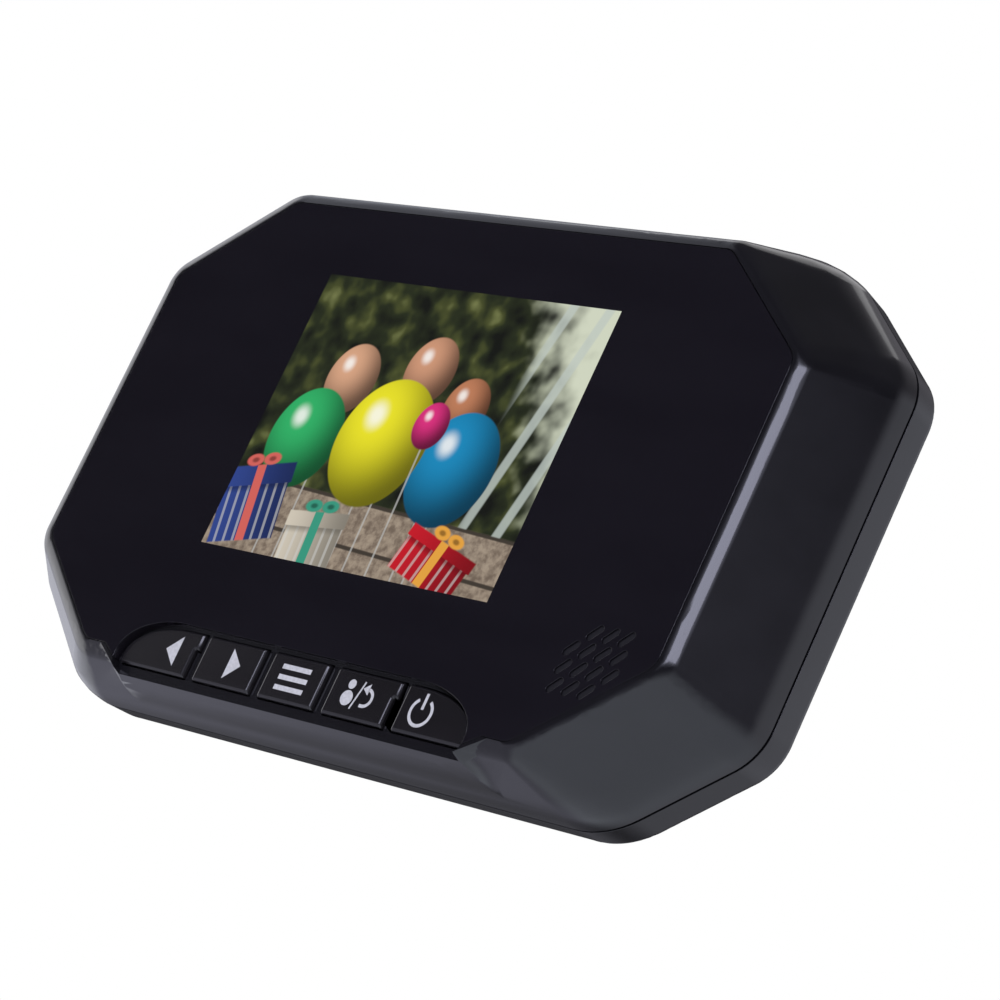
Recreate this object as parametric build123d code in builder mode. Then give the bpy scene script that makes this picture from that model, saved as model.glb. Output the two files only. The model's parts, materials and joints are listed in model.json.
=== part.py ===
"""Indoor monitor of a peephole door camera, with the wall bracket it hangs on.

Millimetres. +X right, +Z up, the screen faces -Y. The origin is the centre of the peephole
bore in the bracket, on the face that lies against the door, so the door is the plane Y = 0.
"""
from build123d import *
import math
import os

os.makedirs("parts", exist_ok=True)

# Case: outline seen from the front, depths measured back from the front panel
seam_depth = 14.2
seam_gap = 0.45
door_gap = 0.4
wall = 1.8
side_spread = 8.35
end_spread = 3.75
base_cut_x = 19.4
base_cut_z = 15.5
base_side_r = 8.5
base_end_r = 16.0
front_side_r = 5.0
front_end_r = 6.0
shoulder_r = 2.8
shoulder_margin = 1.8
back_taper = 0.5
back_edge_r = 1.7
back_wall = 1.6
lip_height = 1.5
lip_wall = 1.0
lip_gap = 0.1
cut_over = 4.0
tiny = 0.001
quarter_turn = 90.0

# The slope from shoulder to seam: share of the depth, and share of the growth reached there
slope_depth_shares = (0.0, 0.583, 0.75, 0.875, 1.0)
slope_growth_shares = (0.0, 0.737, 0.905, 0.976, 1.0)

# Front panel
panel_cut_x = 19.0
panel_cut_z = 14.6
panel_corner_r = 3.5
panel_thick = 1.6
panel_gap = 0.15
front_wall = 1.6

# Key recess at the lower edge, and the chin of the slope under it
recess_side = 1.6
recess_end_run = 12.2
recess_rise = 5.55
recess_high = 8.6
recess_depth = 1.8
recess_waist = 2.4
recess_curl = 0.9
chin_side = 4.3
chin_low_in = 5.3
chin_drop = 0.1
chin_middle_depth = 4.5
chin_middle_drop = 1.2
chin_depth = 11.5
chin_foot_drop = 1.9
chin_spread = 3.0
chin_inset = 0.7

# Screen
screen_z = 3.5
screen_end_margin = 14.75
screen_active_w = 60.5
screen_active_h = 45.4
screen_border = 0.5
window_margin = 1.75
glass_margin = 1.45
glass_thick = 1.2
frame_wall = 0.4
frame_gap = 0.05
guide_thick = 1.0

# Keys
key_face_depth = 1.0
key_gap = 2.0
key_edge_gap = 0.55
key_foot_gap = 1.0
key_middle_w = 11.6
key_inner_w = 12.4
key_end_w = 13.4
key_jog = 0.8
key_jog_drop = 3.1
key_fit = 0.2
key_flange = 0.45
key_flange_thick = 0.8
key_flange_gap = 0.1
key_edge = 0.3
key_travel = 0.5
key_axis_drop = 4.1
well_gap = 0.2

# Key switches
switch_side = 4.5
switch_high = 2.2
plunger_r = 1.0
plunger_fit = 0.08
plunger_in = 0.3
switch_bore_gap = 0.3

# Main board
board_screen_gap = 1.8
board_thick = 1.2
board_bay_gap = 2.8
board_edge_gap = 0.8
post_r = 2.0
post_board_edge = 3.5
post_screen_gap = 2.1
post_top_edge = 1.95
post_recess_gap = 4.1
board_screw_r = 0.9
board_screw_head_r = 1.8
board_screw_head = 1.1
board_screw_length = 3.6
board_hole_r = 1.1
screw_fit = 0.03
drive_wide = 0.5
drive_deep = 0.6
drive_share = 1.2

# Case screws and their bosses
boss_post_step = 4.5
boss_edge = 9.0
boss_r = 2.6
boss_clearance = 0.5
rear_boss_r = 3.2
case_screw_r = 1.05
case_screw_length = 8.5
case_screw_head_r = 2.0
case_screw_head = 1.3
case_hole_r = 1.3
counterbore_r = 2.3
counterbore_deep = 2.6
pilot_extra = 0.6

# Speaker and its grille
speaker_side = 11.0
speaker_rise = 13.15
speaker_r = 7.8
speaker_wall = 0.8
speaker_deep = 3.2
speaker_gasket = 0.5
speaker_opening_r = 6.5
speaker_edge_gap = 0.6
speaker_ring_wall = 0.7
speaker_ring_high = 1.8
speaker_ring_gap = 0.2
cone_gap = 0.1
cone_thick = 0.4
dome_r = 2.6
dome_bulge_share = 1.8
magnet_r = 5.0
magnet_thick = 1.6
slot_long = 3.0
slot_wide = 1.1
slot_pitch_x = 2.87
slot_pitch_z = 2.72
slot_rows = 4
slot_turn = 45.0
contact_step = 4.5
speaker_contact_w = 1.2
speaker_contact_h = 2.5

# Battery bay: three AAA cells upright at the left, behind the screen's edge
cell_r = 5.15
cell_length = 44.5
cell_gap = 0.1
cell_step_gap = 0.3
cell_count = 3
cell_nub_r = 1.9
cell_nub = 0.8
cell_edge_r = 0.5
bay_screen_gap = 0.4
bay_edge = 6.8
bay_front_gap = 4.25
bay_bed_gap = 0.05
bay_end_room = 2.35
bay_wall = 1.0
bay_side_gap = 0.15
bay_corner = 2.4
bay_floor = 0.9
contact_wide = 4.6
contact_deep = 7.5
contact_thick = 0.4
contact_gap = 0.05
leaf_half = 2.6
dimple_taper = 20.0

# Battery cover, sliding off to the left
cover_bay_side = 2.1
cover_bay_end = 1.9
cover_outer = 0.7
cover_inner = 0.7
cover_tongue = 1.0
cover_gap = 0.15
grip_count = 5
grip_pitch = 2.4
grip_long = 14.0
grip_wide = 1.0
grip_deep = 0.35
grip_side = 13.0
ledge_thick = 1.2

# Wall bracket and the pocket it sits in
bracket_w = 46.0
bracket_h = 44.0
bracket_thick = 1.2
bracket_corner_r = 3.0
barrel_r = 7.2
door_screw_side = 8.0
door_screw_end = 6.0
door_screw_r = 1.8
door_slot_long = 6.6
hook_end = 9.0
hook_long = 8.0
hook_out = 3.0
hook_thick = 1.0
hook_lift = 1.7
hook_gap = 0.3
lift = 10.0
pocket_side_gap = 1.0
pocket_top_gap = 0.05
pocket_foot_gap = 0.5
pocket_wall = 1.4
ribbon_w = 20.0
ribbon_h = 12.0
ribbon_r = 2.0

# Electronics on the back of the board
camera_socket_w = 12.0
camera_socket_h = 4.5
camera_socket_deep = 2.4
camera_slit_w = 10.0
camera_slit_h = 1.2
camera_slit_deep = 1.6
processor_side = 14.0
processor_thick = 1.3
processor_x = 21.0
processor_z = 6.0
chip_edge = 0.2
memory_w = 11.0
memory_h = 8.0
memory_thick = 1.1
memory_z = -14.0
card_w = 14.6
card_h = 14.0
card_deep = 1.8
card_x = 26.3
card_mouth_w = 11.6
card_mouth_deep = 1.1
usb_w = 7.6
usb_h = 5.6
usb_deep = 2.6
usb_x = 5.8
usb_mouth_w = 6.8
usb_mouth_deep = 1.9
socket_wall_gap = 0.2
coil_side = 5.0
coil_high = 2.0
coil_r = 1.0
coil_edge = 8.5
coil_step = 8.0
coil_z = 14.0
coil_count = 2
small_w = 2.0
small_h = 1.2
small_high = 0.9
small_pitch_x = 4.0
small_pitch_z = 3.2
small_edge = 10.5
small_z = -14.0
small_columns = 3
small_rows = 3

# Screen ribbon
flex_w = 20.0
flex_thick = 0.2
flex_out = 1.2
flex_bend_share = 0.45
flex_socket_w = 22.0
flex_socket_h = 3.6
flex_socket_high = 1.0

# Depths, from the panel through the screen and board, and through the cells to the back
inner_depth = panel_thick + front_wall
glass_back = inner_depth + glass_thick
guide_back = glass_back + guide_thick
frame_back = guide_back + frame_wall
board_depth = frame_back + board_screen_gap
board_back = board_depth + board_thick
cell_room_r = cell_r + cell_gap
bay_floor_depth = inner_depth + bay_front_gap
cell_depth = bay_floor_depth + bay_floor + bay_bed_gap + cell_room_r
cover_bed = cell_depth + cell_room_r + cover_gap
back_depth = cover_bed + cover_inner + cover_outer
body_depth = back_depth + door_gap
back_inner_depth = back_depth - back_wall
rear_start = seam_depth + seam_gap

# Widths, from the screen at the middle past the three cells to the case's edge
opening_w = screen_active_w + window_margin * 2
opening_h = screen_active_h + window_margin * 2
glass_w = opening_w + glass_margin * 2
glass_h = opening_h + glass_margin * 2
glass_foot = screen_z - glass_h / 2
frame_half_w = glass_w / 2 + frame_gap + frame_wall
cell_pitch = cell_r * 2 + cell_step_gap
bay_right = frame_half_w + bay_screen_gap + bay_wall
bay_left = bay_right + cell_room_r * 2 + (cell_count - 1) * cell_pitch + bay_side_gap
base_half_w = bay_left + bay_edge
panel_half_w = base_half_w - side_spread - shoulder_margin

# Heights, from the screen to the panel's edge and the case's edge
panel_half_h = screen_active_h / 2 + screen_end_margin
base_half_h = panel_half_h + shoulder_margin + end_spread
bay_half_height = cell_length / 2 + bay_end_room

# Key row, the recess it lies in and the chin round the recess
key_names = ("left_key", "right_key", "menu_key", "answer_key", "power_key")
key_widths = (key_end_w, key_inner_w, key_middle_w, key_inner_w, key_end_w)
key_jogs = (key_jog, 0, 0, key_jog, 0)
last_key = len(key_names) - 1
key_row_half = (sum(key_widths) + last_key * key_gap) / 2
key_lefts = [sum(key_widths[:i]) + i * key_gap - key_row_half for i in range(len(key_names))]
key_centres = [left + width / 2 for left, width in zip(key_lefts, key_widths)]
recess_half = key_row_half + recess_side
recess_flat_half = recess_half - recess_end_run
recess_top = panel_half_h - recess_rise
recess_foot = recess_top + recess_high
key_foot = recess_foot - key_foot_gap
key_jog_z = recess_top + key_jog_drop
key_axis_z = recess_top + key_axis_drop
key_flange_depth = inner_depth + key_flange_gap
plunger_depth = key_flange_depth + key_flange_thick
switch_depth = board_depth - switch_high
chin_top_half = recess_half + chin_side
chin_low_half = chin_top_half - chin_low_in
chin_low = recess_foot + chin_drop

# Places of the speaker, the board and the screws
speaker_x = panel_half_w - speaker_side
speaker_z = speaker_rise - panel_half_h
board_left = bay_right - board_bay_gap
post_left = board_left - post_board_edge
post_right = frame_half_w + post_r + post_screen_gap
post_high = panel_half_h - post_top_edge
post_low = recess_top - post_recess_gap
boss_x = post_right + boss_post_step
boss_z = base_half_h - boss_edge
door_screw_x = bracket_w / 2 - door_screw_side
door_screw_z = bracket_h / 2 - door_screw_end
hook_z = bracket_h / 2 - hook_end
cover_right = bay_right - cover_bay_side
cover_half_height = bay_half_height + cover_bay_end


def facing(depth):
    """Plane parallel to the front, this far behind the front panel: local x = X, local y = Z."""
    return Plane.XZ.offset(body_depth - depth)


def eight_sided(half_w, half_h, cut_x, cut_z, side_r, end_r, grow=0):
    """Octagon with its corners cut and rounded, moved outwards by grow."""
    slant = math.hypot(cut_x, cut_z)
    wide = half_w + grow
    high = half_h + grow
    run = cut_x + grow * (1 - (slant - cut_x) / cut_z)
    rise = cut_z + grow * (1 - (slant - cut_z) / cut_x)
    with BuildSketch() as outline:
        with BuildLine():
            Polyline(
                (wide, high - rise), (wide - run, high), (run - wide, high), (-wide, high - rise),
                (-wide, rise - high), (run - wide, -high), (wide - run, -high), (wide, rise - high),
                close=True,
            )
        make_face()
        ends = outline.vertices().filter_by_position(Axis.Y, high - tiny, high + tiny)
        ends += outline.vertices().filter_by_position(Axis.Y, -high - tiny, -high + tiny)
        fillet(ends, end_r + grow)
        sides = outline.vertices().filter_by_position(Axis.X, wide - tiny, wide + tiny)
        sides += outline.vertices().filter_by_position(Axis.X, -wide - tiny, -wide + tiny)
        fillet(sides, side_r + grow)
    return outline.sketch


def between(start, end, share):
    """The value this share of the way from start to end."""
    return start + (end - start) * share


def growth_share(depth):
    """How far the slope has grown from the front outline to the seam outline."""
    at = min(depth / seam_depth, slope_depth_shares[-1])
    steps = list(zip(slope_depth_shares, slope_growth_shares))
    for (low, low_growth), (high, high_growth) in zip(steps, steps[1:]):
        if at <= high:
            return between(low_growth, high_growth, (at - low) / (high - low))
    return slope_growth_shares[-1]


def case_outline(depth, inset=0):
    """Section of the case at this depth, moved inwards by inset."""
    share = growth_share(depth)
    slant = math.hypot(panel_cut_x, panel_cut_z)
    front_cut_x = panel_cut_x + shoulder_margin * (1 - (slant - panel_cut_x) / panel_cut_z)
    front_cut_z = panel_cut_z + shoulder_margin * (1 - (slant - panel_cut_z) / panel_cut_x)
    return eight_sided(
        between(panel_half_w + shoulder_margin, base_half_w, share),
        between(panel_half_h + shoulder_margin, base_half_h, share),
        between(front_cut_x, base_cut_x, share),
        between(front_cut_z, base_cut_z, share),
        between(front_side_r, base_side_r, share),
        between(front_end_r, base_end_r, share),
        -inset,
    )


def rear_block():
    """The rear half of the case as a solid, with its back edge rounded."""
    with BuildPart() as block:
        with BuildSketch(facing(rear_start)):
            add(case_outline(seam_depth))
        with BuildSketch(facing(back_depth)):
            add(case_outline(seam_depth, back_taper))
        loft(ruled=True)
        fillet(block.faces().sort_by(Axis.Y)[-1].edges(), back_edge_r)
    return block.part


def recess_outline(inset=0):
    """The key recess: flat top, elliptical ends that curl in at the foot, open below the slope."""
    half = recess_half - inset
    run = recess_end_run - inset
    waist = recess_waist - recess_foot
    rise = recess_high - recess_waist - inset
    curl_x = half - recess_curl
    foot = -recess_foot - cut_over
    with BuildSketch() as outline:
        with BuildLine():
            EllipticalCenterArc((curl_x, waist), recess_curl, recess_waist, -quarter_turn,
                                arc_size=quarter_turn)
            EllipticalCenterArc((recess_flat_half, waist), run, rise, 0, arc_size=quarter_turn)
            Line((recess_flat_half, waist + rise), (-recess_flat_half, waist + rise))
            EllipticalCenterArc((-recess_flat_half, waist), run, rise, quarter_turn,
                                arc_size=quarter_turn)
            EllipticalCenterArc((-curl_x, waist), recess_curl, recess_waist, quarter_turn * 2,
                                arc_size=quarter_turn)
            Polyline((-curl_x, -recess_foot), (-curl_x, foot), (curl_x, foot), (curl_x, -recess_foot))
        make_face()
    return outline.sketch


def chin_outline(inset=0, drop=0, spread=0):
    """The part of the front that reaches down around the key recess, as two horns.

    Inset moves its slanted sides inwards, drop moves its foot down and spread widens it there.
    """
    slant = math.hypot(chin_top_half - chin_low_half, chin_low - panel_half_h)
    top_half = chin_top_half - inset * slant / (chin_low - panel_half_h) + spread
    low_half = top_half - chin_top_half + chin_low_half
    high = panel_half_h + drop
    low = chin_low + drop
    with BuildSketch() as outline:
        with BuildLine():
            Polyline(
                (-top_half, -recess_top), (-top_half, -high), (-low_half, -low),
                (low_half, -low), (top_half, -high), (top_half, -recess_top), close=True,
            )
        make_face()
    return outline.sketch


def grille_places():
    """Centres of the sound slots: a square grid without two opposite corners."""
    half = (slot_rows - 1) / 2
    last = slot_rows - 1
    places = []
    for row in range(slot_rows):
        for column in range(slot_rows):
            if (row, column) not in ((0, 0), (last, last)):
                x = speaker_x + (column - half) * slot_pitch_x
                places.append((x, speaker_z + (half - row) * slot_pitch_z))
    return places


def mirrored_places(x, z):
    """The four places at plus and minus x and z."""
    return [(x, z), (-x, z), (-x, -z), (x, -z)]


chin_sections = (
    (0, 0, 0),
    (chin_middle_depth, chin_middle_drop, chin_spread / 2),
    (chin_depth, chin_foot_drop, chin_spread),
)
case_bosses = mirrored_places(boss_x, boss_z)
board_posts = [(-post_left, post_high), (post_right, post_high),
               (-post_left, -post_low), (post_right, -post_low)]
board_level_half_h = between(panel_half_h + shoulder_margin, base_half_h, growth_share(board_back))
socket_top = board_level_half_h - wall - socket_wall_gap


def key_outline(number, grow=0):
    """One key seen from the front; grow gives its opening or its flange."""
    left = -recess_half if number == 0 else key_lefts[number] - grow
    right = recess_half if number == last_key else key_lefts[number] + key_widths[number] + grow
    with BuildSketch() as outline:
        add(recess_outline(key_edge_gap - grow))
        with BuildSketch(mode=Mode.INTERSECT):
            with Locations((left, -key_foot - grow)):
                Rectangle(right - left, recess_high, align=(Align.MIN, Align.MIN))
            if key_jogs[number]:
                with Locations((right, -key_jog_z - grow)):
                    Rectangle(key_jogs[number], recess_high, align=(Align.MIN, Align.MIN))
    return outline.sketch


# Front shell: sloped ring with a front wall, bosses, posts and the key recess
with BuildPart() as front_shell:
    for depth_share in slope_depth_shares:
        with BuildSketch(facing(depth_share * seam_depth)):
            add(case_outline(depth_share * seam_depth))
    loft(ruled=True)
    fillet(front_shell.faces().sort_by(Axis.Y)[0].edges(), shoulder_r)
    for section_depth, drop, spread in chin_sections:
        with BuildSketch(facing(section_depth)):
            add(chin_outline(0, drop, spread))
    loft()
    with BuildSketch(facing(inner_depth)):
        add(case_outline(inner_depth, wall))
    for depth_share in slope_depth_shares[1:]:
        with BuildSketch(facing(depth_share * seam_depth)):
            add(case_outline(depth_share * seam_depth, wall))
    loft(ruled=True, mode=Mode.SUBTRACT)
    with BuildSketch(facing(panel_thick)):
        add(eight_sided(panel_half_w, panel_half_h, panel_cut_x, panel_cut_z,
                        panel_corner_r, panel_corner_r, panel_gap))
        add(chin_outline(chin_inset - panel_gap))
    extrude(amount=panel_thick, mode=Mode.SUBTRACT)
    with BuildSketch(facing(recess_depth)):
        add(recess_outline())
    extrude(amount=recess_depth, mode=Mode.SUBTRACT)
    with BuildSketch(facing(inner_depth)):
        with Locations((0, screen_z)):
            Rectangle(screen_active_w + window_margin * 2, screen_active_h + window_margin * 2)
    extrude(amount=inner_depth, mode=Mode.SUBTRACT)
    with BuildSketch(facing(inner_depth)):
        with Locations((speaker_x, speaker_z)):
            Circle(speaker_opening_r)
        add(eight_sided(panel_half_w, panel_half_h, panel_cut_x, panel_cut_z,
                        panel_corner_r, panel_corner_r, -speaker_edge_gap), mode=Mode.INTERSECT)
    extrude(amount=inner_depth, mode=Mode.SUBTRACT)
    with BuildSketch(facing(board_depth)):
        with Locations((0, -key_foot - key_flange - well_gap)):
            Rectangle(recess_half * 2, recess_high, align=(Align.CENTER, Align.MIN))
    extrude(amount=board_depth - inner_depth, mode=Mode.SUBTRACT)
    for number in range(len(key_names)):
        with BuildSketch(facing(inner_depth)):
            add(key_outline(number, key_fit))
        extrude(amount=inner_depth, mode=Mode.SUBTRACT)
    with BuildSketch(facing(seam_depth)):
        with Locations(*case_bosses):
            Circle(boss_r)
    extrude(amount=seam_depth - inner_depth + front_wall / 2)
    with BuildSketch(facing(board_depth)):
        with Locations(*board_posts):
            Circle(post_r)
    extrude(amount=board_depth - inner_depth + front_wall / 2)
    with BuildSketch(facing(inner_depth + speaker_ring_high)):
        with Locations((speaker_x, speaker_z)):
            Circle(speaker_r + speaker_ring_gap + speaker_ring_wall)
            Circle(speaker_r + speaker_ring_gap, mode=Mode.SUBTRACT)
    extrude(amount=speaker_ring_high + front_wall / 2)
    with BuildSketch(facing(seam_depth)):
        with Locations(*case_bosses):
            Circle(case_screw_r + screw_fit)
    extrude(amount=case_screw_length - (back_depth - counterbore_deep - seam_depth) + pilot_extra,
            mode=Mode.SUBTRACT)
    with BuildSketch(facing(board_depth)):
        with Locations(*board_posts):
            Circle(board_screw_r + screw_fit)
    extrude(amount=board_screw_length - board_thick + pilot_extra, mode=Mode.SUBTRACT)
    for socket_x, mouth_w, deep in ((card_x, card_mouth_w, card_deep), (usb_x, usb_mouth_w, usb_deep)):
        with BuildSketch(Plane.XY.offset(socket_top)):
            with Locations((socket_x, board_back + deep / 2 - body_depth)):
                Rectangle(mouth_w + socket_wall_gap * 2, deep)
        extrude(amount=cut_over, mode=Mode.SUBTRACT)
front_shell.part.label = "front_shell"
export_step(front_shell.part, "parts/front_shell.step")

# Window panel: glossy octagon over the screen, with the key recess and the sound slots cut in it
with BuildPart() as window_panel:
    with BuildSketch(facing(panel_thick)):
        add(eight_sided(panel_half_w, panel_half_h, panel_cut_x, panel_cut_z,
                        panel_corner_r, panel_corner_r))
        add(chin_outline(chin_inset))
        add(recess_outline(), mode=Mode.SUBTRACT)
    extrude(amount=panel_thick)
    with BuildSketch(facing(panel_thick)):
        with Locations(*grille_places()):
            SlotOverall(slot_long, slot_wide, rotation=slot_turn)
    extrude(amount=panel_thick, mode=Mode.SUBTRACT)
window_panel.part.label = "window_panel"
export_step(window_panel.part, "parts/window_panel.step")

# Screen stack: foam gasket, glass, light guide and the steel frame behind them
with BuildPart() as screen_gasket:
    with BuildSketch(facing(inner_depth)):
        with Locations((0, screen_z)):
            Rectangle(opening_w - frame_gap * 2, opening_h - frame_gap * 2)
            Rectangle(screen_active_w + screen_border * 2, screen_active_h + screen_border * 2,
                      mode=Mode.SUBTRACT)
    extrude(amount=front_wall)
screen_gasket.part.label = "screen_gasket"
export_step(screen_gasket.part, "parts/screen_gasket.step")

with BuildPart() as screen_glass:
    with BuildSketch(facing(glass_back)):
        with Locations((0, screen_z)):
            Rectangle(glass_w, glass_h)
    extrude(amount=glass_thick)
screen_glass.part.label = "screen_glass"
export_step(screen_glass.part, "parts/screen_glass.step")

with BuildPart() as light_guide:
    with BuildSketch(facing(guide_back)):
        with Locations((0, screen_z)):
            Rectangle(glass_w, glass_h)
    extrude(amount=guide_thick)
light_guide.part.label = "light_guide"
export_step(light_guide.part, "parts/light_guide.step")

with BuildPart() as screen_frame:
    with BuildSketch(facing(frame_back)):
        with Locations((0, screen_z)):
            Rectangle(frame_half_w * 2, glass_h + (frame_gap + frame_wall) * 2)
    extrude(amount=frame_back - inner_depth)
    with BuildSketch(facing(guide_back)):
        with Locations((0, screen_z)):
            Rectangle(glass_w + frame_gap * 2, glass_h + frame_gap * 2)
    extrude(amount=guide_back - inner_depth, mode=Mode.SUBTRACT)
    with BuildSketch(facing(glass_back)):
        with Locations((0, glass_foot)):
            Rectangle(flex_w + frame_wall * 2, (frame_gap + frame_wall) * 3)
    extrude(amount=glass_thick, mode=Mode.SUBTRACT)
screen_frame.part.label = "screen_frame"
export_step(screen_frame.part, "parts/screen_frame.step")

# Screen ribbon: leaves the glass at its foot and turns back to its socket on the board
flex_front_y = glass_back - glass_thick / 2 - body_depth
flex_back_y = board_depth - flex_socket_high / 2 - body_depth
flex_foot = glass_foot - flex_out - (flex_back_y - flex_front_y) / 2
with BuildPart() as screen_ribbon:
    with BuildSketch(Plane.YZ.offset(-flex_w / 2)):
        with BuildLine():
            FilletPolyline(
                (flex_front_y, glass_foot), (flex_front_y, flex_foot),
                (flex_back_y, flex_foot), (flex_back_y, glass_foot),
                radius=(flex_back_y - flex_front_y) * flex_bend_share,
            )
        trace(line_width=flex_thick)
    extrude(amount=flex_w)
screen_ribbon.part.label = "screen_ribbon"
export_step(screen_ribbon.part, "parts/screen_ribbon.step")

with BuildPart() as screen_socket:
    with BuildSketch(facing(board_depth)):
        with Locations((0, glass_foot)):
            Rectangle(flex_socket_w, flex_socket_h, align=(Align.CENTER, Align.MIN))
    extrude(amount=flex_socket_high)
screen_socket.part.label = "screen_socket"
export_step(screen_socket.part, "parts/screen_socket.step")

# Main board behind the screen, on four posts
with BuildPart() as main_board:
    with BuildSketch(facing(board_back)):
        add(case_outline(board_depth, wall + board_edge_gap))
        with Locations((-board_left, 0)):
            Rectangle(base_half_w * 2, base_half_h * 2, align=(Align.MIN, Align.CENTER),
                      mode=Mode.INTERSECT)
        with Locations(*board_posts):
            Circle(board_hole_r, mode=Mode.SUBTRACT)
        with Locations((boss_x, boss_z), (boss_x, -boss_z)):
            Circle(boss_r + boss_clearance, mode=Mode.SUBTRACT)
    extrude(amount=board_thick)
main_board.part.label = "main_board"
export_step(main_board.part, "parts/main_board.step")

with BuildPart() as processor:
    with BuildSketch(facing(board_back)):
        with Locations((processor_x, processor_z)):
            Rectangle(processor_side, processor_side)
    extrude(amount=-processor_thick)
    chamfer(processor.faces().sort_by(Axis.Y)[-1].edges(), chip_edge)
processor.part.label = "processor"
export_step(processor.part, "parts/processor.step")

with BuildPart() as memory_chip:
    with BuildSketch(facing(board_back)):
        with Locations((processor_x, memory_z)):
            Rectangle(memory_w, memory_h)
    extrude(amount=-memory_thick)
    chamfer(memory_chip.faces().sort_by(Axis.Y)[-1].edges(), chip_edge)
memory_chip.part.label = "memory_chip"
export_step(memory_chip.part, "parts/memory_chip.step")

with BuildPart() as power_coils:
    for number in range(coil_count):
        with BuildSketch(facing(board_back)):
            with Locations((coil_edge - board_left, coil_z - number * coil_step)):
                RectangleRounded(coil_side, coil_side, coil_r)
        extrude(amount=-coil_high)
power_coils.part.label = "power_coils"
export_step(power_coils.part, "parts/power_coils.step")

with BuildPart() as small_components:
    with BuildSketch(facing(board_back)):
        with Locations((small_edge - board_left, small_z)):
            with GridLocations(small_pitch_x, small_pitch_z, small_columns, small_rows):
                Rectangle(small_w, small_h)
    extrude(amount=-small_high)
small_components.part.label = "small_components"
export_step(small_components.part, "parts/small_components.step")

# Socket for the door camera's ribbon, facing the window in the rear cover
with BuildPart() as camera_socket:
    with BuildSketch(facing(board_back)):
        Rectangle(camera_socket_w, camera_socket_h)
    extrude(amount=-camera_socket_deep)
    with BuildSketch(facing(board_back + camera_socket_deep)):
        Rectangle(camera_slit_w, camera_slit_h)
    extrude(amount=camera_slit_deep, mode=Mode.SUBTRACT)
camera_socket.part.label = "camera_socket"
export_step(camera_socket.part, "parts/camera_socket.step")

# Memory card and supply sockets at the board's top edge, behind mouths in the shell
with BuildPart() as card_socket:
    with BuildSketch(facing(board_back)):
        with Locations((card_x, socket_top)):
            Rectangle(card_w, card_h, align=(Align.CENTER, Align.MAX))
    extrude(amount=-card_deep)
    with BuildSketch(Plane.XY.offset(socket_top)):
        with Locations((card_x, board_back + card_deep / 2 - body_depth)):
            Rectangle(card_mouth_w, card_mouth_deep)
    extrude(amount=-card_h / 2, mode=Mode.SUBTRACT)
card_socket.part.label = "card_socket"
export_step(card_socket.part, "parts/card_socket.step")

with BuildPart() as supply_socket:
    with BuildSketch(facing(board_back)):
        with Locations((usb_x, socket_top)):
            Rectangle(usb_w, usb_h, align=(Align.CENTER, Align.MAX))
    extrude(amount=-usb_deep)
    with BuildSketch(Plane.XY.offset(socket_top)):
        with Locations((usb_x, board_back + usb_deep / 2 - body_depth)):
            Rectangle(usb_mouth_w, usb_mouth_deep)
    extrude(amount=-usb_h / 2, mode=Mode.SUBTRACT)
supply_socket.part.label = "supply_socket"
export_step(supply_socket.part, "parts/supply_socket.step")

# Keys: a cap in its opening, a flange behind the wall, and the switch plunger it pushes
for number, name in enumerate(key_names):
    with BuildPart() as key:
        with BuildSketch(facing(key_flange_depth)):
            add(key_outline(number))
        extrude(amount=key_flange_depth - key_face_depth)
        chamfer(key.faces().sort_by(Axis.Y)[0].edges(), key_edge)
        with BuildSketch(facing(plunger_depth)):
            add(key_outline(number, key_flange))
        extrude(amount=key_flange_thick)
    key.part.label = name
    export_step(key.part, f"parts/{name}.step")

    plunger_name = name.replace("key", "plunger")
    with BuildPart() as plunger:
        with BuildSketch(facing(switch_depth + plunger_in)):
            with Locations((key_centres[number], -key_axis_z)):
                Circle(plunger_r)
        extrude(amount=switch_depth + plunger_in - plunger_depth)
    plunger.part.label = plunger_name
    export_step(plunger.part, f"parts/{plunger_name}.step")

with BuildPart() as key_switches:
    for centre in key_centres:
        with BuildSketch(facing(board_depth)):
            with Locations((centre, -key_axis_z)):
                Rectangle(switch_side, switch_side)
        extrude(amount=switch_high)
        with BuildSketch(facing(switch_depth)):
            with Locations((centre, -key_axis_z)):
                Circle(plunger_r + plunger_fit)
        extrude(amount=-plunger_in - key_travel - switch_bore_gap, mode=Mode.SUBTRACT)
key_switches.part.label = "key_switches"
export_step(key_switches.part, "parts/key_switches.step")

# Speaker behind the slots: gasket, basket, cone and magnet, touching the board by two contacts
basket_front = inner_depth + speaker_gasket
basket_back = basket_front + speaker_deep
with BuildPart() as speaker_gasket_ring:
    with BuildSketch(facing(basket_front)):
        with Locations((speaker_x, speaker_z)):
            Circle(speaker_r)
            Circle(speaker_opening_r, mode=Mode.SUBTRACT)
    extrude(amount=speaker_gasket)
speaker_gasket_ring.part.label = "speaker_gasket"
export_step(speaker_gasket_ring.part, "parts/speaker_gasket.step")

with BuildPart() as speaker_basket:
    with BuildSketch(facing(basket_back)):
        with Locations((speaker_x, speaker_z)):
            Circle(speaker_r)
    extrude(amount=speaker_deep)
    with BuildSketch(facing(basket_back - speaker_wall)):
        with Locations((speaker_x, speaker_z)):
            Circle(speaker_r - speaker_wall)
    extrude(amount=speaker_deep, mode=Mode.SUBTRACT)
speaker_basket.part.label = "speaker_basket"
export_step(speaker_basket.part, "parts/speaker_basket.step")

with BuildPart() as speaker_magnet:
    with BuildSketch(facing(basket_back - speaker_wall)):
        with Locations((speaker_x, speaker_z)):
            Circle(magnet_r)
    extrude(amount=magnet_thick)
speaker_magnet.part.label = "speaker_magnet"
export_step(speaker_magnet.part, "parts/speaker_magnet.step")

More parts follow.
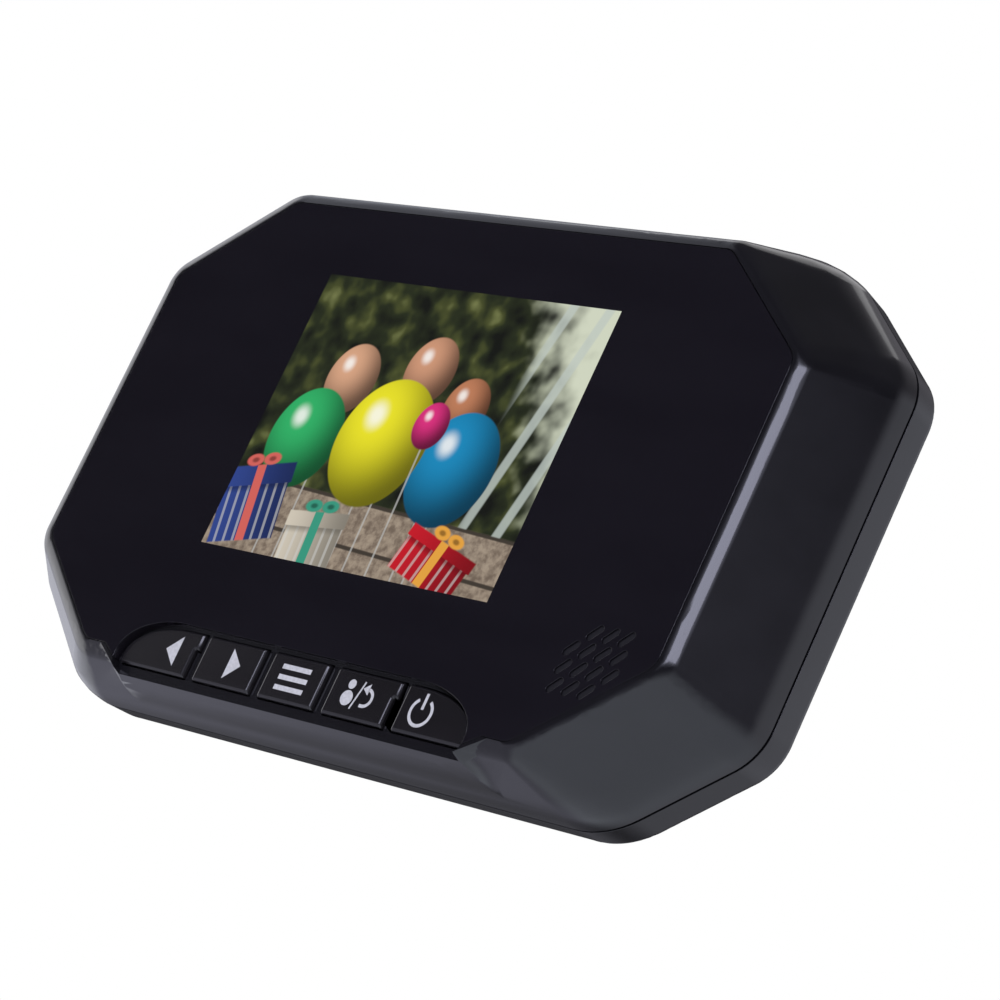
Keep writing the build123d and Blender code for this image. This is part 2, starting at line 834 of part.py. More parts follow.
cone_y = basket_front + cone_thick - body_depth
cone_outer_r = speaker_r - speaker_wall - cone_gap
with BuildPart() as speaker_cone:
    with BuildSketch(Plane.YZ.offset(speaker_x)):
        with BuildLine():
            Polyline(
                (cone_y - cone_thick, speaker_z + dome_r), (cone_y - cone_thick, speaker_z + cone_outer_r),
                (cone_y, speaker_z + cone_outer_r), (cone_y, speaker_z),
                (cone_y - cone_thick * 2, speaker_z),
            )
            ThreePointArc(
                (cone_y - cone_thick * 2, speaker_z),
                (cone_y - cone_thick * dome_bulge_share, speaker_z + dome_r / 2),
                (cone_y - cone_thick, speaker_z + dome_r),
            )
        make_face()
    revolve(axis=Axis((speaker_x, 0, speaker_z), (0, 1, 0)))
speaker_cone.part.label = "speaker_cone"
export_step(speaker_cone.part, "parts/speaker_cone.step")

with BuildPart() as speaker_contacts:
    with BuildSketch(facing(board_depth)):
        with Locations((speaker_x - contact_step, speaker_z), (speaker_x + contact_step, speaker_z)):
            Rectangle(speaker_contact_w, speaker_contact_h)
    extrude(amount=board_depth - basket_back)
speaker_contacts.part.label = "speaker_contacts"
export_step(speaker_contacts.part, "parts/speaker_contacts.step")

# Wall bracket: plate on the door with the peephole bore, screw slots and four turned-out hooks
plate_front = body_depth - bracket_thick
hook_back = plate_front - hook_lift
hook_front = hook_back - hook_thick
with BuildPart() as wall_bracket:
    with BuildSketch(facing(body_depth)):
        RectangleRounded(bracket_w, bracket_h, bracket_corner_r)
        Circle(barrel_r, mode=Mode.SUBTRACT)
        with Locations(*mirrored_places(door_screw_x, door_screw_z)):
            SlotOverall(door_slot_long, door_screw_r * 2, mode=Mode.SUBTRACT)
    extrude(amount=bracket_thick)
    for side in (-1, 1):
        for height in (-hook_z, hook_z):
            with BuildSketch(facing(plate_front)):
                with Locations((side * (bracket_w - hook_thick) / 2, height)):
                    Rectangle(hook_thick, hook_long)
            extrude(amount=plate_front - hook_front)
            with BuildSketch(facing(hook_back)):
                with Locations((side * (bracket_w + hook_out - hook_thick) / 2, height)):
                    Rectangle(hook_out + hook_thick, hook_long)
            extrude(amount=hook_thick)
wall_bracket.part.label = "wall_bracket"
export_step(wall_bracket.part, "parts/wall_bracket.step")

# Rear cover: shallow tray with a lip, screw bosses, the battery bay and the bracket pocket
cell_places = [-(bay_right + cell_room_r + number * cell_pitch) for number in range(cell_count)]
ledge_front = cover_bed - ledge_thick
pocket_half_w = bracket_w / 2 + hook_out + pocket_side_gap
pocket_top = bracket_h / 2 + pocket_top_gap
pocket_foot = bracket_h / 2 + lift + pocket_foot_gap
pocket_bed = hook_front - hook_gap
rail_front = hook_back + hook_gap
rail_inner = bracket_w / 2 + hook_gap
counterbore_bed = back_depth - counterbore_deep


def bay_outline(grow=0):
    """The battery bay seen from the front, with its two corners by the case's edge cut off."""
    left = bay_left + grow
    right = bay_right - grow
    high = bay_half_height + grow
    with BuildSketch() as outline:
        with BuildLine():
            Polyline(
                (-right, high), (bay_corner - left, high), (-left, high - bay_corner),
                (-left, bay_corner - high), (bay_corner - left, -high), (-right, -high), close=True,
            )
        make_face()
    return outline.sketch


def cover_layers(gap=0):
    """The battery cover as two slabs: the outer skin, and the wider one whose edges are held."""
    far_left = base_half_w + cut_over
    with BuildPart() as slabs:
        with BuildSketch(facing(back_depth)):
            with Locations((gap - cover_right, 0)):
                Rectangle(far_left, (cover_half_height + gap) * 2, align=(Align.MAX, Align.CENTER))
        extrude(amount=cover_outer)
        with BuildSketch(facing(back_depth - cover_outer)):
            with Locations((gap + cover_tongue - cover_right, 0)):
                Rectangle(far_left, (cover_half_height + cover_tongue + gap) * 2,
                          align=(Align.MAX, Align.CENTER))
        extrude(amount=cover_inner)
    return slabs.part


def ledge_block():
    """The thick part of the back round the battery cover."""
    with BuildPart() as block:
        add(rear_block())
        with BuildSketch(facing(back_depth)):
            with Locations((cover_tongue + ledge_thick - cover_right, 0)):
                Rectangle(base_half_w * 2, (cover_half_height + cover_tongue + ledge_thick) * 2,
                          align=(Align.MAX, Align.CENTER))
        extrude(amount=back_depth - ledge_front, mode=Mode.INTERSECT)
    return block.part


with BuildPart() as rear_cover:
    add(rear_block())
    with BuildSketch(facing(back_inner_depth)):
        add(case_outline(seam_depth, wall))
    extrude(amount=back_inner_depth - rear_start, mode=Mode.SUBTRACT)
    with BuildSketch(facing(rear_start + lip_height)):
        add(case_outline(seam_depth, wall / 2))
        add(case_outline(seam_depth - lip_height, wall + lip_gap + lip_wall), mode=Mode.SUBTRACT)
    extrude(amount=lip_height)
    with BuildSketch(facing(rear_start)):
        add(case_outline(seam_depth - lip_height, wall + lip_gap))
        add(case_outline(seam_depth - lip_height, wall + lip_gap + lip_wall), mode=Mode.SUBTRACT)
    extrude(amount=lip_height + seam_gap)
    for socket_x, socket_w in ((card_x, card_w), (usb_x, usb_w)):
        with BuildSketch(facing(rear_start)):
            with Locations((socket_x, base_half_h)):
                Rectangle(socket_w + socket_wall_gap * 2, (wall + lip_gap + lip_wall * 2) * 2)
        extrude(amount=lip_height + seam_gap, mode=Mode.SUBTRACT)
    with BuildSketch(facing(back_inner_depth)):
        with Locations(*case_bosses):
            Circle(rear_boss_r)
    extrude(amount=back_inner_depth - seam_depth)
    with BuildSketch(facing(back_depth)):
        add(bay_outline(bay_wall))
    extrude(amount=back_depth - bay_floor_depth)
    add(ledge_block())
    with BuildSketch(facing(back_depth)):
        with Locations((0, (pocket_top - pocket_foot) / 2)):
            Rectangle((pocket_half_w + pocket_wall) * 2, pocket_top + pocket_foot + pocket_wall * 2)
    extrude(amount=back_depth - pocket_bed + pocket_wall)
    with BuildSketch(facing(cover_bed)):
        add(bay_outline())
    extrude(amount=cover_bed - bay_floor_depth - bay_floor, mode=Mode.SUBTRACT)
    add(cover_layers(cover_gap), mode=Mode.SUBTRACT)
    with BuildSketch(facing(back_depth)):
        with Locations((0, (pocket_top - pocket_foot) / 2)):
            Rectangle(pocket_half_w * 2, pocket_top + pocket_foot)
    extrude(amount=back_depth - pocket_bed, mode=Mode.SUBTRACT)
    with BuildSketch(facing(pocket_bed)):
        RectangleRounded(ribbon_w, ribbon_h, ribbon_r)
    extrude(amount=pocket_wall, mode=Mode.SUBTRACT)
    for side in (-1, 1):
        for height in (-hook_z, hook_z):
            with BuildSketch(facing(back_depth)):
                with Locations((side * (pocket_half_w + rail_inner) / 2, height)):
                    Rectangle(pocket_half_w - rail_inner, hook_long)
            extrude(amount=back_depth - rail_front)
    with BuildSketch(facing(back_depth)):
        with Locations(*case_bosses):
            Circle(case_hole_r)
    extrude(amount=back_depth - seam_depth, mode=Mode.SUBTRACT)
    with BuildSketch(facing(back_depth)):
        with Locations(*case_bosses):
            Circle(counterbore_r)
    extrude(amount=counterbore_deep, mode=Mode.SUBTRACT)
rear_cover.part.label = "rear_cover"
export_step(rear_cover.part, "parts/rear_cover.step")

# Battery cover: slides off to the left, its edges held under the rear cover
with BuildPart() as battery_cover:
    add(cover_layers())
    add(rear_block(), mode=Mode.INTERSECT)
    with BuildSketch(facing(back_depth)):
        with Locations((grip_side - base_half_w, 0)):
            with GridLocations(grip_pitch, 0, grip_count, 1):
                SlotOverall(grip_long, grip_wide, rotation=90)
    extrude(amount=grip_deep, mode=Mode.SUBTRACT)
battery_cover.part.label = "battery_cover"
export_step(battery_cover.part, "parts/battery_cover.step")

# Three cells, each turned end for end from the one beside it
cell_half = cell_length / 2
for number, place in enumerate(cell_places):
    way = 1 if number % 2 == 0 else -1
    axis_plane = Plane((place, cell_depth - body_depth, -way * cell_half), z_dir=(0, 0, way))
    with BuildPart() as cell:
        with BuildSketch(axis_plane):
            Circle(cell_r)
        extrude(amount=cell_length - cell_nub)
        fillet(cell.edges(), cell_edge_r)
        with BuildSketch(axis_plane.offset(cell_length - cell_nub * 2)):
            Circle(cell_nub_r)
        extrude(amount=cell_nub * 2)
    cell_name = f"cell_{number + 1}"
    cell.part.label = cell_name
    export_step(cell.part, f"parts/{cell_name}.step")

# Contacts at both ends of the bay: a dimpled plate for each nub, a sprung leaf for each base
plate_reach = bay_half_height - cell_half
contact_y = cell_depth - body_depth
with BuildPart() as button_contacts:
    for number, place in enumerate(cell_places):
        way = 1 if number % 2 == 0 else -1
        with BuildSketch(Plane((place, contact_y, way * bay_half_height), z_dir=(0, 0, -way))):
            Rectangle(contact_wide, contact_deep)
        extrude(amount=contact_thick)
        with BuildSketch(Plane((place, contact_y, way * (bay_half_height - contact_thick)),
                               z_dir=(0, 0, -way))):
            Circle(cell_nub_r)
        extrude(amount=plate_reach - contact_thick - contact_gap, taper=dimple_taper)
button_contacts.part.label = "button_contacts"
export_step(button_contacts.part, "parts/button_contacts.step")

with BuildPart() as leaf_contacts:
    for number, place in enumerate(cell_places):
        way = -1 if number % 2 == 0 else 1
        wall_z = way * bay_half_height
        peak_z = way * (cell_half + contact_gap)
        inner_peak_z = peak_z + way * contact_thick
        with BuildSketch(Plane.YZ.offset(place - contact_wide / 2)):
            with Locations((contact_y, wall_z - way * contact_thick / 2)):
                Rectangle(contact_deep, contact_thick)
            with BuildLine():
                ThreePointArc((contact_y - leaf_half, wall_z - way * contact_thick / 2),
                              (contact_y, peak_z),
                              (contact_y + leaf_half, wall_z - way * contact_thick / 2))
                Line((contact_y + leaf_half, wall_z - way * contact_thick / 2),
                     (contact_y + leaf_half - contact_thick, wall_z - way * contact_thick / 2))
                ThreePointArc((contact_y + leaf_half - contact_thick, wall_z - way * contact_thick / 2),
                              (contact_y, inner_peak_z),
                              (contact_y - leaf_half + contact_thick, wall_z - way * contact_thick / 2))
                Line((contact_y - leaf_half + contact_thick, wall_z - way * contact_thick / 2),
                     (contact_y - leaf_half, wall_z - way * contact_thick / 2))
            make_face()
        extrude(amount=contact_wide)
leaf_contacts.part.label = "leaf_contacts"
export_step(leaf_contacts.part, "parts/leaf_contacts.step")


def screw_set(places, head_depth, head_r, head_high, shank_r, length):
    """Pan head screws driven from the back, head seated at head_depth."""
    with BuildPart() as screws:
        with BuildSketch(facing(head_depth + head_high)):
            with Locations(*places):
                Circle(head_r)
        extrude(amount=head_high)
        fillet(screws.edges().group_by(Axis.Y)[-1], head_high / 2)
        with BuildSketch(facing(head_depth)):
            with Locations(*places):
                Circle(shank_r)
        extrude(amount=length)
        with BuildSketch(facing(head_depth + head_high)):
            with Locations(*places):
                Rectangle(head_r * drive_share, drive_wide)
                Rectangle(drive_wide, head_r * drive_share)
        extrude(amount=drive_deep, mode=Mode.SUBTRACT)
    return screws


case_screws = screw_set(case_bosses, counterbore_bed, case_screw_head_r, case_screw_head,
                        case_screw_r, case_screw_length)
case_screws.part.label = "case_screws"
export_step(case_screws.part, "parts/case_screws.step")

board_screws = screw_set(board_posts, board_back, board_screw_head_r, board_screw_head,
                         board_screw_r, board_screw_length)
board_screws.part.label = "board_screws"
export_step(board_screws.part, "parts/board_screws.step")
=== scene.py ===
"""Looks of a peephole door camera's indoor monitor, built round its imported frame.

Metres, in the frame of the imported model: +X right, +Z up, the screen faces -Y, and the door
is the plane Y = 0. Every new piece has its place in its mesh and rides on a body of the frame.
"""

import itertools
import json
import logging
import math
from dataclasses import dataclass, field
from enum import Enum
from typing import Any

import bmesh
import bpy
from mathutils import Matrix, Quaternion, Vector


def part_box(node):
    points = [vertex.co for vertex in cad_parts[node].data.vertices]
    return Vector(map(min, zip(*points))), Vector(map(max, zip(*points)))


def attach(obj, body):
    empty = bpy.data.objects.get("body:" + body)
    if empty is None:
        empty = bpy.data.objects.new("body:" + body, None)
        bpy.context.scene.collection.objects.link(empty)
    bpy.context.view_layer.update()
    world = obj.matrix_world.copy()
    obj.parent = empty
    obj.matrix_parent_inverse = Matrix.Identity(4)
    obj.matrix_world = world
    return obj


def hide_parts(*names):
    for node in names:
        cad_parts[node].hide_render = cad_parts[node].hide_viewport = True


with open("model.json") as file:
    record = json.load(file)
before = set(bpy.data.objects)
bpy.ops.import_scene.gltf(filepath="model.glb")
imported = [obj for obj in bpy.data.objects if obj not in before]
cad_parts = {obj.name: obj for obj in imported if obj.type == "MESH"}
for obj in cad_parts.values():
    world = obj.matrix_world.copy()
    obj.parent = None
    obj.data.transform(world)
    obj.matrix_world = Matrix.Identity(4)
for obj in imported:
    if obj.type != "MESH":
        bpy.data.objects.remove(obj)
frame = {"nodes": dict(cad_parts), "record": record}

MM = 0.001
PICTURE_Z = 3.5 * MM
ROUND_SEGMENTS = 32
PATTERN_MIDDLE = 0.5
WHITE = (1.0, 1.0, 1.0)
log = logging.getLogger("door_camera_monitor")

Colour = tuple[float, float, float]
Span = tuple[float, float]
Stops = tuple[tuple[float, Colour], ...]


class Body(Enum):
    """The bodies of the frame that pieces ride on."""

    BRACKET = "bracket"
    MONITOR = "monitor"
    BATTERY_COVER = "battery_cover"
    LEFT_KEY = "left_key"
    RIGHT_KEY = "right_key"
    MENU_KEY = "menu_key"
    ANSWER_KEY = "answer_key"
    POWER_KEY = "power_key"


class Value:
    """A shader socket that sums, products and comparisons can be written with."""

    def __init__(self, graph: "Graph", socket: bpy.types.NodeSocket) -> None:
        """Holds an output socket and the graph that it belongs to."""
        self.graph = graph
        self.socket = socket

    def maths(self, operation: str, *others: Any) -> "Value":
        """A Math node on this value and further values or numbers."""
        return self.graph.maths(operation, self, *others)

    def __add__(self, other: Any) -> "Value":
        """Sum."""
        return self.maths("ADD", other)

    __radd__ = __add__

    def __sub__(self, other: Any) -> "Value":
        """Difference."""
        return self.maths("SUBTRACT", other)

    def __rsub__(self, other: Any) -> "Value":
        """Difference from a number."""
        return self.graph.maths("SUBTRACT", other, self)

    def __mul__(self, other: Any) -> "Value":
        """Product."""
        return self.maths("MULTIPLY", other)

    __rmul__ = __mul__

    def __truediv__(self, other: Any) -> "Value":
        """Quotient."""
        return self.maths("DIVIDE", other)

    def __rtruediv__(self, other: Any) -> "Value":
        """A number divided by this value."""
        return self.graph.maths("DIVIDE", other, self)

    def __pow__(self, other: Any) -> "Value":
        """Power."""
        return self.maths("POWER", other)

    def __abs__(self) -> "Value":
        """Absolute value."""
        return self.maths("ABSOLUTE")

    def at_most(self, other: Any) -> "Value":
        """The smaller of this value and another."""
        return self.maths("MINIMUM", other)

    def at_least(self, other: Any) -> "Value":
        """The larger of this value and another."""
        return self.maths("MAXIMUM", other)

    def clamped(self) -> "Value":
        """This value kept between 0 and 1."""
        return self.at_least(0.0).at_most(1.0)

    def step(self, start: float, end: float) -> "Value":
        """0 where this value is at start, 1 at end and eased in between."""
        share = ((self - start) / (end - start)).clamped()
        return share * share * (3.0 - share * 2.0)


class Graph:
    """A node tree of a material or the world, and the ways in which nodes join it."""

    def __init__(self, tree: bpy.types.NodeTree) -> None:
        """Holds the node tree to add to."""
        self.tree = tree

    def plug(self, socket: bpy.types.NodeSocket, value: Any) -> None:
        """Links a value to an input, or sets a constant on it.

        Args:
            socket: the input socket.
            value: a Value to link, or a number, colour or vector.
        """
        if isinstance(value, Value):
            self.tree.links.new(value.socket, socket)
        elif socket.type == "RGBA":
            socket.default_value = (*value, 1.0) if len(value) == 3 else value
        else:
            socket.default_value = value

    def node(self, kind: str, settings: dict[str, Any] | None = None,
             values: dict[Any, Any] | None = None, out: Any = 0) -> Value:
        """Adds a node of any kind.

        Args:
            kind: the node's type name.
            settings: its properties, set first; stops gives a ramp's places and colours.
            values: values or links of its inputs, by name or number.
            out: the name or number of the output wanted.

        Returns:
            That output.
        """
        node = self.tree.nodes.new(kind)
        for name, setting in (settings or {}).items():
            if name == "stops":
                self._set_stops(node.color_ramp, setting)
            else:
                setattr(node, name, setting)
        for name, value in (values or {}).items():
            self.plug(node.inputs[name], value)
        return Value(self, node.outputs[out])

    @staticmethod
    def _set_stops(ramp: bpy.types.ColorRamp, stops: Stops) -> None:
        """Gives a ramp its stops.

        Args:
            ramp: the colour ramp.
            stops: places from 0 to 1 with their colours.
        """
        while len(ramp.elements) < len(stops):
            ramp.elements.new(1.0)
        for element, (place, colour) in zip(ramp.elements, stops):
            element.position = place
            element.color = (*colour, 1.0)

    def maths(self, operation: str, *operands: Any) -> Value:
        """A Math node's result, from values or numbers."""
        return self.node("ShaderNodeMath", {"operation": operation}, dict(enumerate(operands)))

    def blend(self, mask: Any, low: Any, high: Any) -> Value:
        """The low colour where the mask is 0, and the high one where it is 1."""
        return self.node("ShaderNodeMix", {"data_type": "RGBA"}, {0: mask, 6: low, 7: high}, 2)

    def ramp(self, value: Any, stops: Stops) -> Value:
        """The colour that a ramp gives for a value from 0 to 1."""
        return self.node("ShaderNodeValToRGB", {"stops": stops}, {0: value})

    def noise(self, place: Value, grain: float, detail: float = 2.0, rough: float = 0.5) -> Value:
        """Soft noise around 0.5, with spots of a grain in metres."""
        return self.node("ShaderNodeTexNoise", {}, {"Vector": place, "Scale": 1.0 / grain,
                                                    "Detail": detail, "Roughness": rough})

    def cells(self, place: Value, grain: float, feature: str = "F1") -> Value:
        """The distance from a cell's middle or edge, for cells of a grain in metres."""
        return self.node("ShaderNodeTexVoronoi", {"feature": feature},
                         {"Vector": place, "Scale": 1.0 / grain}, "Distance")

    def stretched(self, place: Value, shares: tuple[float, float, float]) -> Value:
        """Coordinates whose axes count by shares, which gives a pattern a grain."""
        return self.node("ShaderNodeMapping", {}, {"Vector": place, "Scale": shares})

    def parts(self, place: Value) -> tuple[Value, Value, Value]:
        """The X, Y and Z of coordinates."""
        split = self.node("ShaderNodeSeparateXYZ", {}, {0: place})
        outputs = split.socket.node.outputs
        return Value(self, outputs[0]), Value(self, outputs[1]), Value(self, outputs[2])


class Surface(Graph):
    """A material in the making: a Principled shader and what feeds it."""

    def __init__(self, name: str, **constants: Any) -> None:
        """Makes the material.

        Args:
            name: the material's name.
            constants: values that are the same all over, with underscores for the spaces in
                the names of the shader's sockets.
        """
        self.material = bpy.data.materials.new(name)
        self.material.use_nodes = True
        super().__init__(self.material.node_tree)
        self.shader = self.tree.nodes["Principled BSDF"]
        for socket, value in constants.items():
            self.feed(socket.replace("_", " "), value)

    def feed(self, socket: str, value: Any) -> None:
        """Gives one of the shader's sockets its value or link."""
        self.plug(self.shader.inputs[socket], value)

    def place(self) -> Value:
        """The point of the surface, in metres in the row frame."""
        return self.node("ShaderNodeTexCoord", out="Object")

    def gloss(self, roughness: Any, pattern: Value, drift: float) -> None:
        """Feeds a roughness that drifts with a pattern."""
        self.feed("Roughness", roughness + (pattern - PATTERN_MIDDLE) * drift)

    def emboss(self, height: Value, depth: float) -> None:
        """Feeds the normal with a relief from 0 to 1, of a depth in metres."""
        self.feed("Normal", self.node("ShaderNodeBump", {}, {"Strength": 1.0, "Distance": depth,
                                                             "Height": height}))


def tinted(colour: Colour, share: float, lift: float = 0.0) -> Colour:
    """A colour with its parts multiplied by share and raised by lift."""
    return tuple(part * share + lift for part in colour)


def distance(a: Value, b: Value) -> Value:
    """How far a point is from the origin, by its two coordinates."""
    return (a * a + b * b) ** 0.5


def add_object(name: str, data: bpy.types.ID) -> bpy.types.Object:
    """Makes an object of a mesh, lamp or camera, and puts it in the scene.

    Args:
        name: the object's name.
        data: the mesh, lamp or camera.

    Returns:
        The object.
    """
    made = bpy.data.objects.new(name, data)
    bpy.context.scene.collection.objects.link(made)
    return made


def add_mesh(name: str, bm: bmesh.types.BMesh) -> bpy.types.Object:
    """Makes an object of a bmesh.

    Args:
        name: the object's name.
        bm: the shape, which is freed.

    Returns:
        The object.
    """
    mesh = bpy.data.meshes.new(name)
    bm.to_mesh(mesh)
    bm.free()
    return add_object(name, mesh)


def turn(bm: bmesh.types.BMesh, verts: list[bmesh.types.BMVert], angle: float, axis: str) -> None:
    """Turns vertices about an axis through the origin."""
    bmesh.ops.rotate(bm, matrix=Matrix.Rotation(angle, 3, axis), verts=verts)


def extrude(bm: bmesh.types.BMesh, faces: list[bmesh.types.BMFace], way: tuple[float, float, float]
            ) -> list[bmesh.types.BMVert]:
    """Extrudes faces.

    Args:
        bm: the shape.
        faces: the faces.
        way: how far the new ones move.

    Returns:
        The new faces' vertices.
    """
    made = bmesh.ops.extrude_face_region(bm, geom=faces)["geom"]
    moved = [v for v in made if isinstance(v, bmesh.types.BMVert)]
    bmesh.ops.translate(bm, vec=way, verts=moved)
    return moved


@dataclass(frozen=True)
class Moulding:
    """A moulded plastic: a colour that drifts a little, and a gloss with faint flow marks."""

    name: str
    colour: Colour
    roughness: float
    drift: float = 0.12
    haze: float = 0.0006
    gloss_drift: float = 0.03
    relief: float = 0.0006 * MM
    grain: float = 0.35 * MM
    smear: float = 14.0 * MM
    flow: float = 9.0 * MM
    flow_detail: float = 3.0
    flow_run: tuple[float, float, float] = (0.25, 1.0, 1.0)
    flow_span: Span = (0.3, 0.7)

    def make(self) -> bpy.types.Material:
        """Builds the material."""
        s = Surface(self.name)
        place = s.place()
        flow = s.noise(s.stretched(place, self.flow_run), self.flow, self.flow_detail)
        pale = tinted(self.colour, 1.0 + self.drift, self.haze)
        deep = tinted(self.colour, 1.0 - self.drift)
        s.feed("Base Color", s.blend(flow.step(*self.flow_span), deep, pale))
        fine = s.noise(place, self.grain)
        smear = s.noise(place, self.smear)
        s.feed("Roughness", self.roughness + (smear - PATTERN_MIDDLE) * self.gloss_drift
               + (fine - PATTERN_MIDDLE) * self.gloss_drift)
        s.emboss(fine, self.relief)
        return s.material


@dataclass(frozen=True)
class SheetMetal:
    """A stamped or plated metal sheet with a faint rolling grain and small stains."""

    name: str
    colour: Colour
    roughness: float = 0.32
    grain: float = 0.12 * MM
    grain_run: tuple[float, float, float] = (1.0, 1.0, 0.04)
    grain_gloss: float = 0.16
    relief: float = 0.002 * MM
    stain: float = 6.0 * MM
    stain_detail: float = 3.0
    stain_rough: float = 0.6
    stain_span: Span = (0.35, 0.7)
    stain_share: float = 0.78
    stain_gloss: float = 0.06

    def make(self) -> bpy.types.Material:
        """Builds the material."""
        s = Surface(self.name, Metallic=1.0)
        place = s.place()
        lines = s.noise(s.stretched(place, self.grain_run), self.grain)
        stain = s.noise(place, self.stain, self.stain_detail, self.stain_rough)
        dull = tinted(self.colour, self.stain_share)
        s.feed("Base Color", s.blend(stain.step(*self.stain_span), self.colour, dull))
        s.feed("Roughness", self.roughness + (lines - PATTERN_MIDDLE) * self.grain_gloss
               + stain * self.stain_gloss)
        s.emboss(lines, self.relief)
        return s.material


@dataclass(frozen=True)
class Foam:
    """Closed cell foam, or a fine cloth."""

    name: str
    colour: Colour
    cell: float = 0.25 * MM
    pale_share: float = 1.8
    roughness: float = 0.85
    gloss_drift: float = 0.1
    specular: float = 0.2
    relief: float = 0.05 * MM

    def make(self) -> bpy.types.Material:
        """Builds the material."""
        s = Surface(self.name, Specular_IOR_Level=self.specular)
        pits = s.cells(s.place(), self.cell)
        s.feed("Base Color", s.blend(pits, self.colour, tinted(self.colour, self.pale_share)))
        s.gloss(self.roughness, pits, self.gloss_drift)
        s.emboss(pits, self.relief)
        return s.material


@dataclass(frozen=True)
class CircuitBoard:
    """Solder mask over copper tracks, with tinned pads and through holes."""

    name: str = "board_green"
    mask: Colour = (0.012, 0.11, 0.045)
    track: Colour = (0.03, 0.2, 0.08)
    tin: Colour = (0.6, 0.58, 0.5)
    pitch: float = 2.6 * MM
    track_run: tuple[float, float, float] = (1.0, 0.0, 0.3)
    track_span: Span = (0.05, 0.09)
    pad_run: tuple[float, float, float] = (1.0, 0.0, 1.0)
    pad_span: Span = (0.17, 0.2)
    roughness: float = 0.34
    pad_gloss: float = 0.06
    grain: float = 1.0 * MM
    gloss_drift: float = 0.06
    relief: float = 0.03 * MM

    def make(self) -> bpy.types.Material:
        """Builds the material."""
        s = Surface(self.name)
        place = s.place()
        runs = s.cells(s.stretched(place, self.track_run), self.pitch, "DISTANCE_TO_EDGE")
        dots = s.cells(s.stretched(place, self.pad_run), self.pitch)
        track = 1.0 - runs.step(*self.track_span)
        pads = 1.0 - dots.step(*self.pad_span)
        s.feed("Base Color", s.blend(pads, s.blend(track, self.mask, self.track), self.tin))
        s.feed("Metallic", pads)
        s.gloss(self.roughness - pads * self.pad_gloss, s.noise(place, self.grain), self.gloss_drift)
        s.emboss(track.at_least(pads), self.relief)
        return s.material


@dataclass(frozen=True)
class RibbonFilm:
    """Polyimide film with the copper lines of a ribbon showing through."""

    name: str = "ribbon_amber"
    film: Colour = (0.42, 0.17, 0.03)
    copper: Colour = (0.6, 0.3, 0.1)
    line_pitch: float = 0.5 * MM
    line_span: Span = (-0.2, 0.2)
    roughness: float = 0.3
    grain: float = 0.8 * MM
    gloss_drift: float = 0.08
    relief: float = 0.02 * MM

    def make(self) -> bpy.types.Material:
        """Builds the material."""
        s = Surface(self.name)
        place = s.place()
        x, _, _ = s.parts(place)
        lines = (x * (2.0 * math.pi / self.line_pitch)).maths("SINE").step(*self.line_span)
        s.feed("Base Color", s.blend(lines, self.film, self.copper))
        s.gloss(self.roughness, s.noise(place, self.grain), self.gloss_drift)
        s.emboss(lines, self.relief)
        return s.material


@dataclass(frozen=True)
class CellJacket:
    """The plain shrunk jacket of a battery cell, with a pale band and bright steel ends."""

    name: str = "cell_jacket"
    dark: Colour = (0.02, 0.07, 0.22)
    band: Colour = (0.55, 0.56, 0.58)
    steel: Colour = (0.62, 0.61, 0.59)
    half_length: float = 22.25 * MM
    end: float = 1.2 * MM
    end_edge: float = 0.05 * MM
    band_wide: float = 11.0 * MM
    band_edge: float = 0.1 * MM
    roughness: float = 0.3
    grain: float = 0.6 * MM
    grain_run: tuple[float, float, float] = (1.0, 1.0, 0.1)
    gloss_drift: float = 0.1
    relief: float = 0.004 * MM

    def make(self) -> bpy.types.Material:
        """Builds the material."""
        s = Surface(self.name)
        place = s.place()
        _, _, z = s.parts(place)
        end_z = self.half_length - self.end
        band_z = self.half_length - self.band_wide
        ends = abs(z).step(end_z, end_z + self.end_edge)
        banded = z.step(band_z, band_z + self.band_edge)
        grain = s.noise(s.stretched(place, self.grain_run), self.grain)
        s.feed("Base Color", s.blend(ends, s.blend(banded, self.dark, self.band), self.steel))
        s.feed("Metallic", ends)
        s.gloss(self.roughness, grain, self.gloss_drift)
        s.emboss(grain, self.relief)
        return s.material


@dataclass(frozen=True)
class PrintedInk:
    """Pad printed ink, slightly uneven."""

    name: str = "key_print"
    colour: Colour = (0.58, 0.58, 0.61)
    worn_share: float = 0.86
    patch: float = 0.5 * MM
    patch_detail: float = 3.0
    patch_span: Span = (0.35, 0.65)
    roughness: float = 0.45
    gloss_drift: float = 0.1
    specular: float = 0.3
    relief: float = 0.002 * MM

    def make(self) -> bpy.types.Material:
        """Builds the material."""
        s = Surface(self.name, Specular_IOR_Level=self.specular)
        patch = s.noise(s.place(), self.patch, self.patch_detail)
        worn = tinted(self.colour, self.worn_share)
        s.feed("Base Color", s.blend(patch.step(*self.patch_span), worn, self.colour))
        s.gloss(self.roughness, patch, self.gloss_drift)
        s.emboss(patch, self.relief)
        return s.material


@dataclass(frozen=True)
class CoverGlass:
    """The display's cover glass, dark when it is off."""

    name: str = "screen_glass"
    deep: Colour = (0.012, 0.014, 0.016)
    pale: Colour = (0.03, 0.033, 0.038)
    sheen: float = 12.0 * MM
    roughness: float = 0.05
    gloss_drift: float = 0.03

    def make(self) -> bpy.types.Material:
        """Builds the material."""
        s = Surface(self.name)
        sheen = s.noise(s.place(), self.sheen)
        s.feed("Base Color", s.blend(sheen, self.deep, self.pale))
        s.feed("Roughness", self.roughness + sheen * self.gloss_drift)
        return s.material


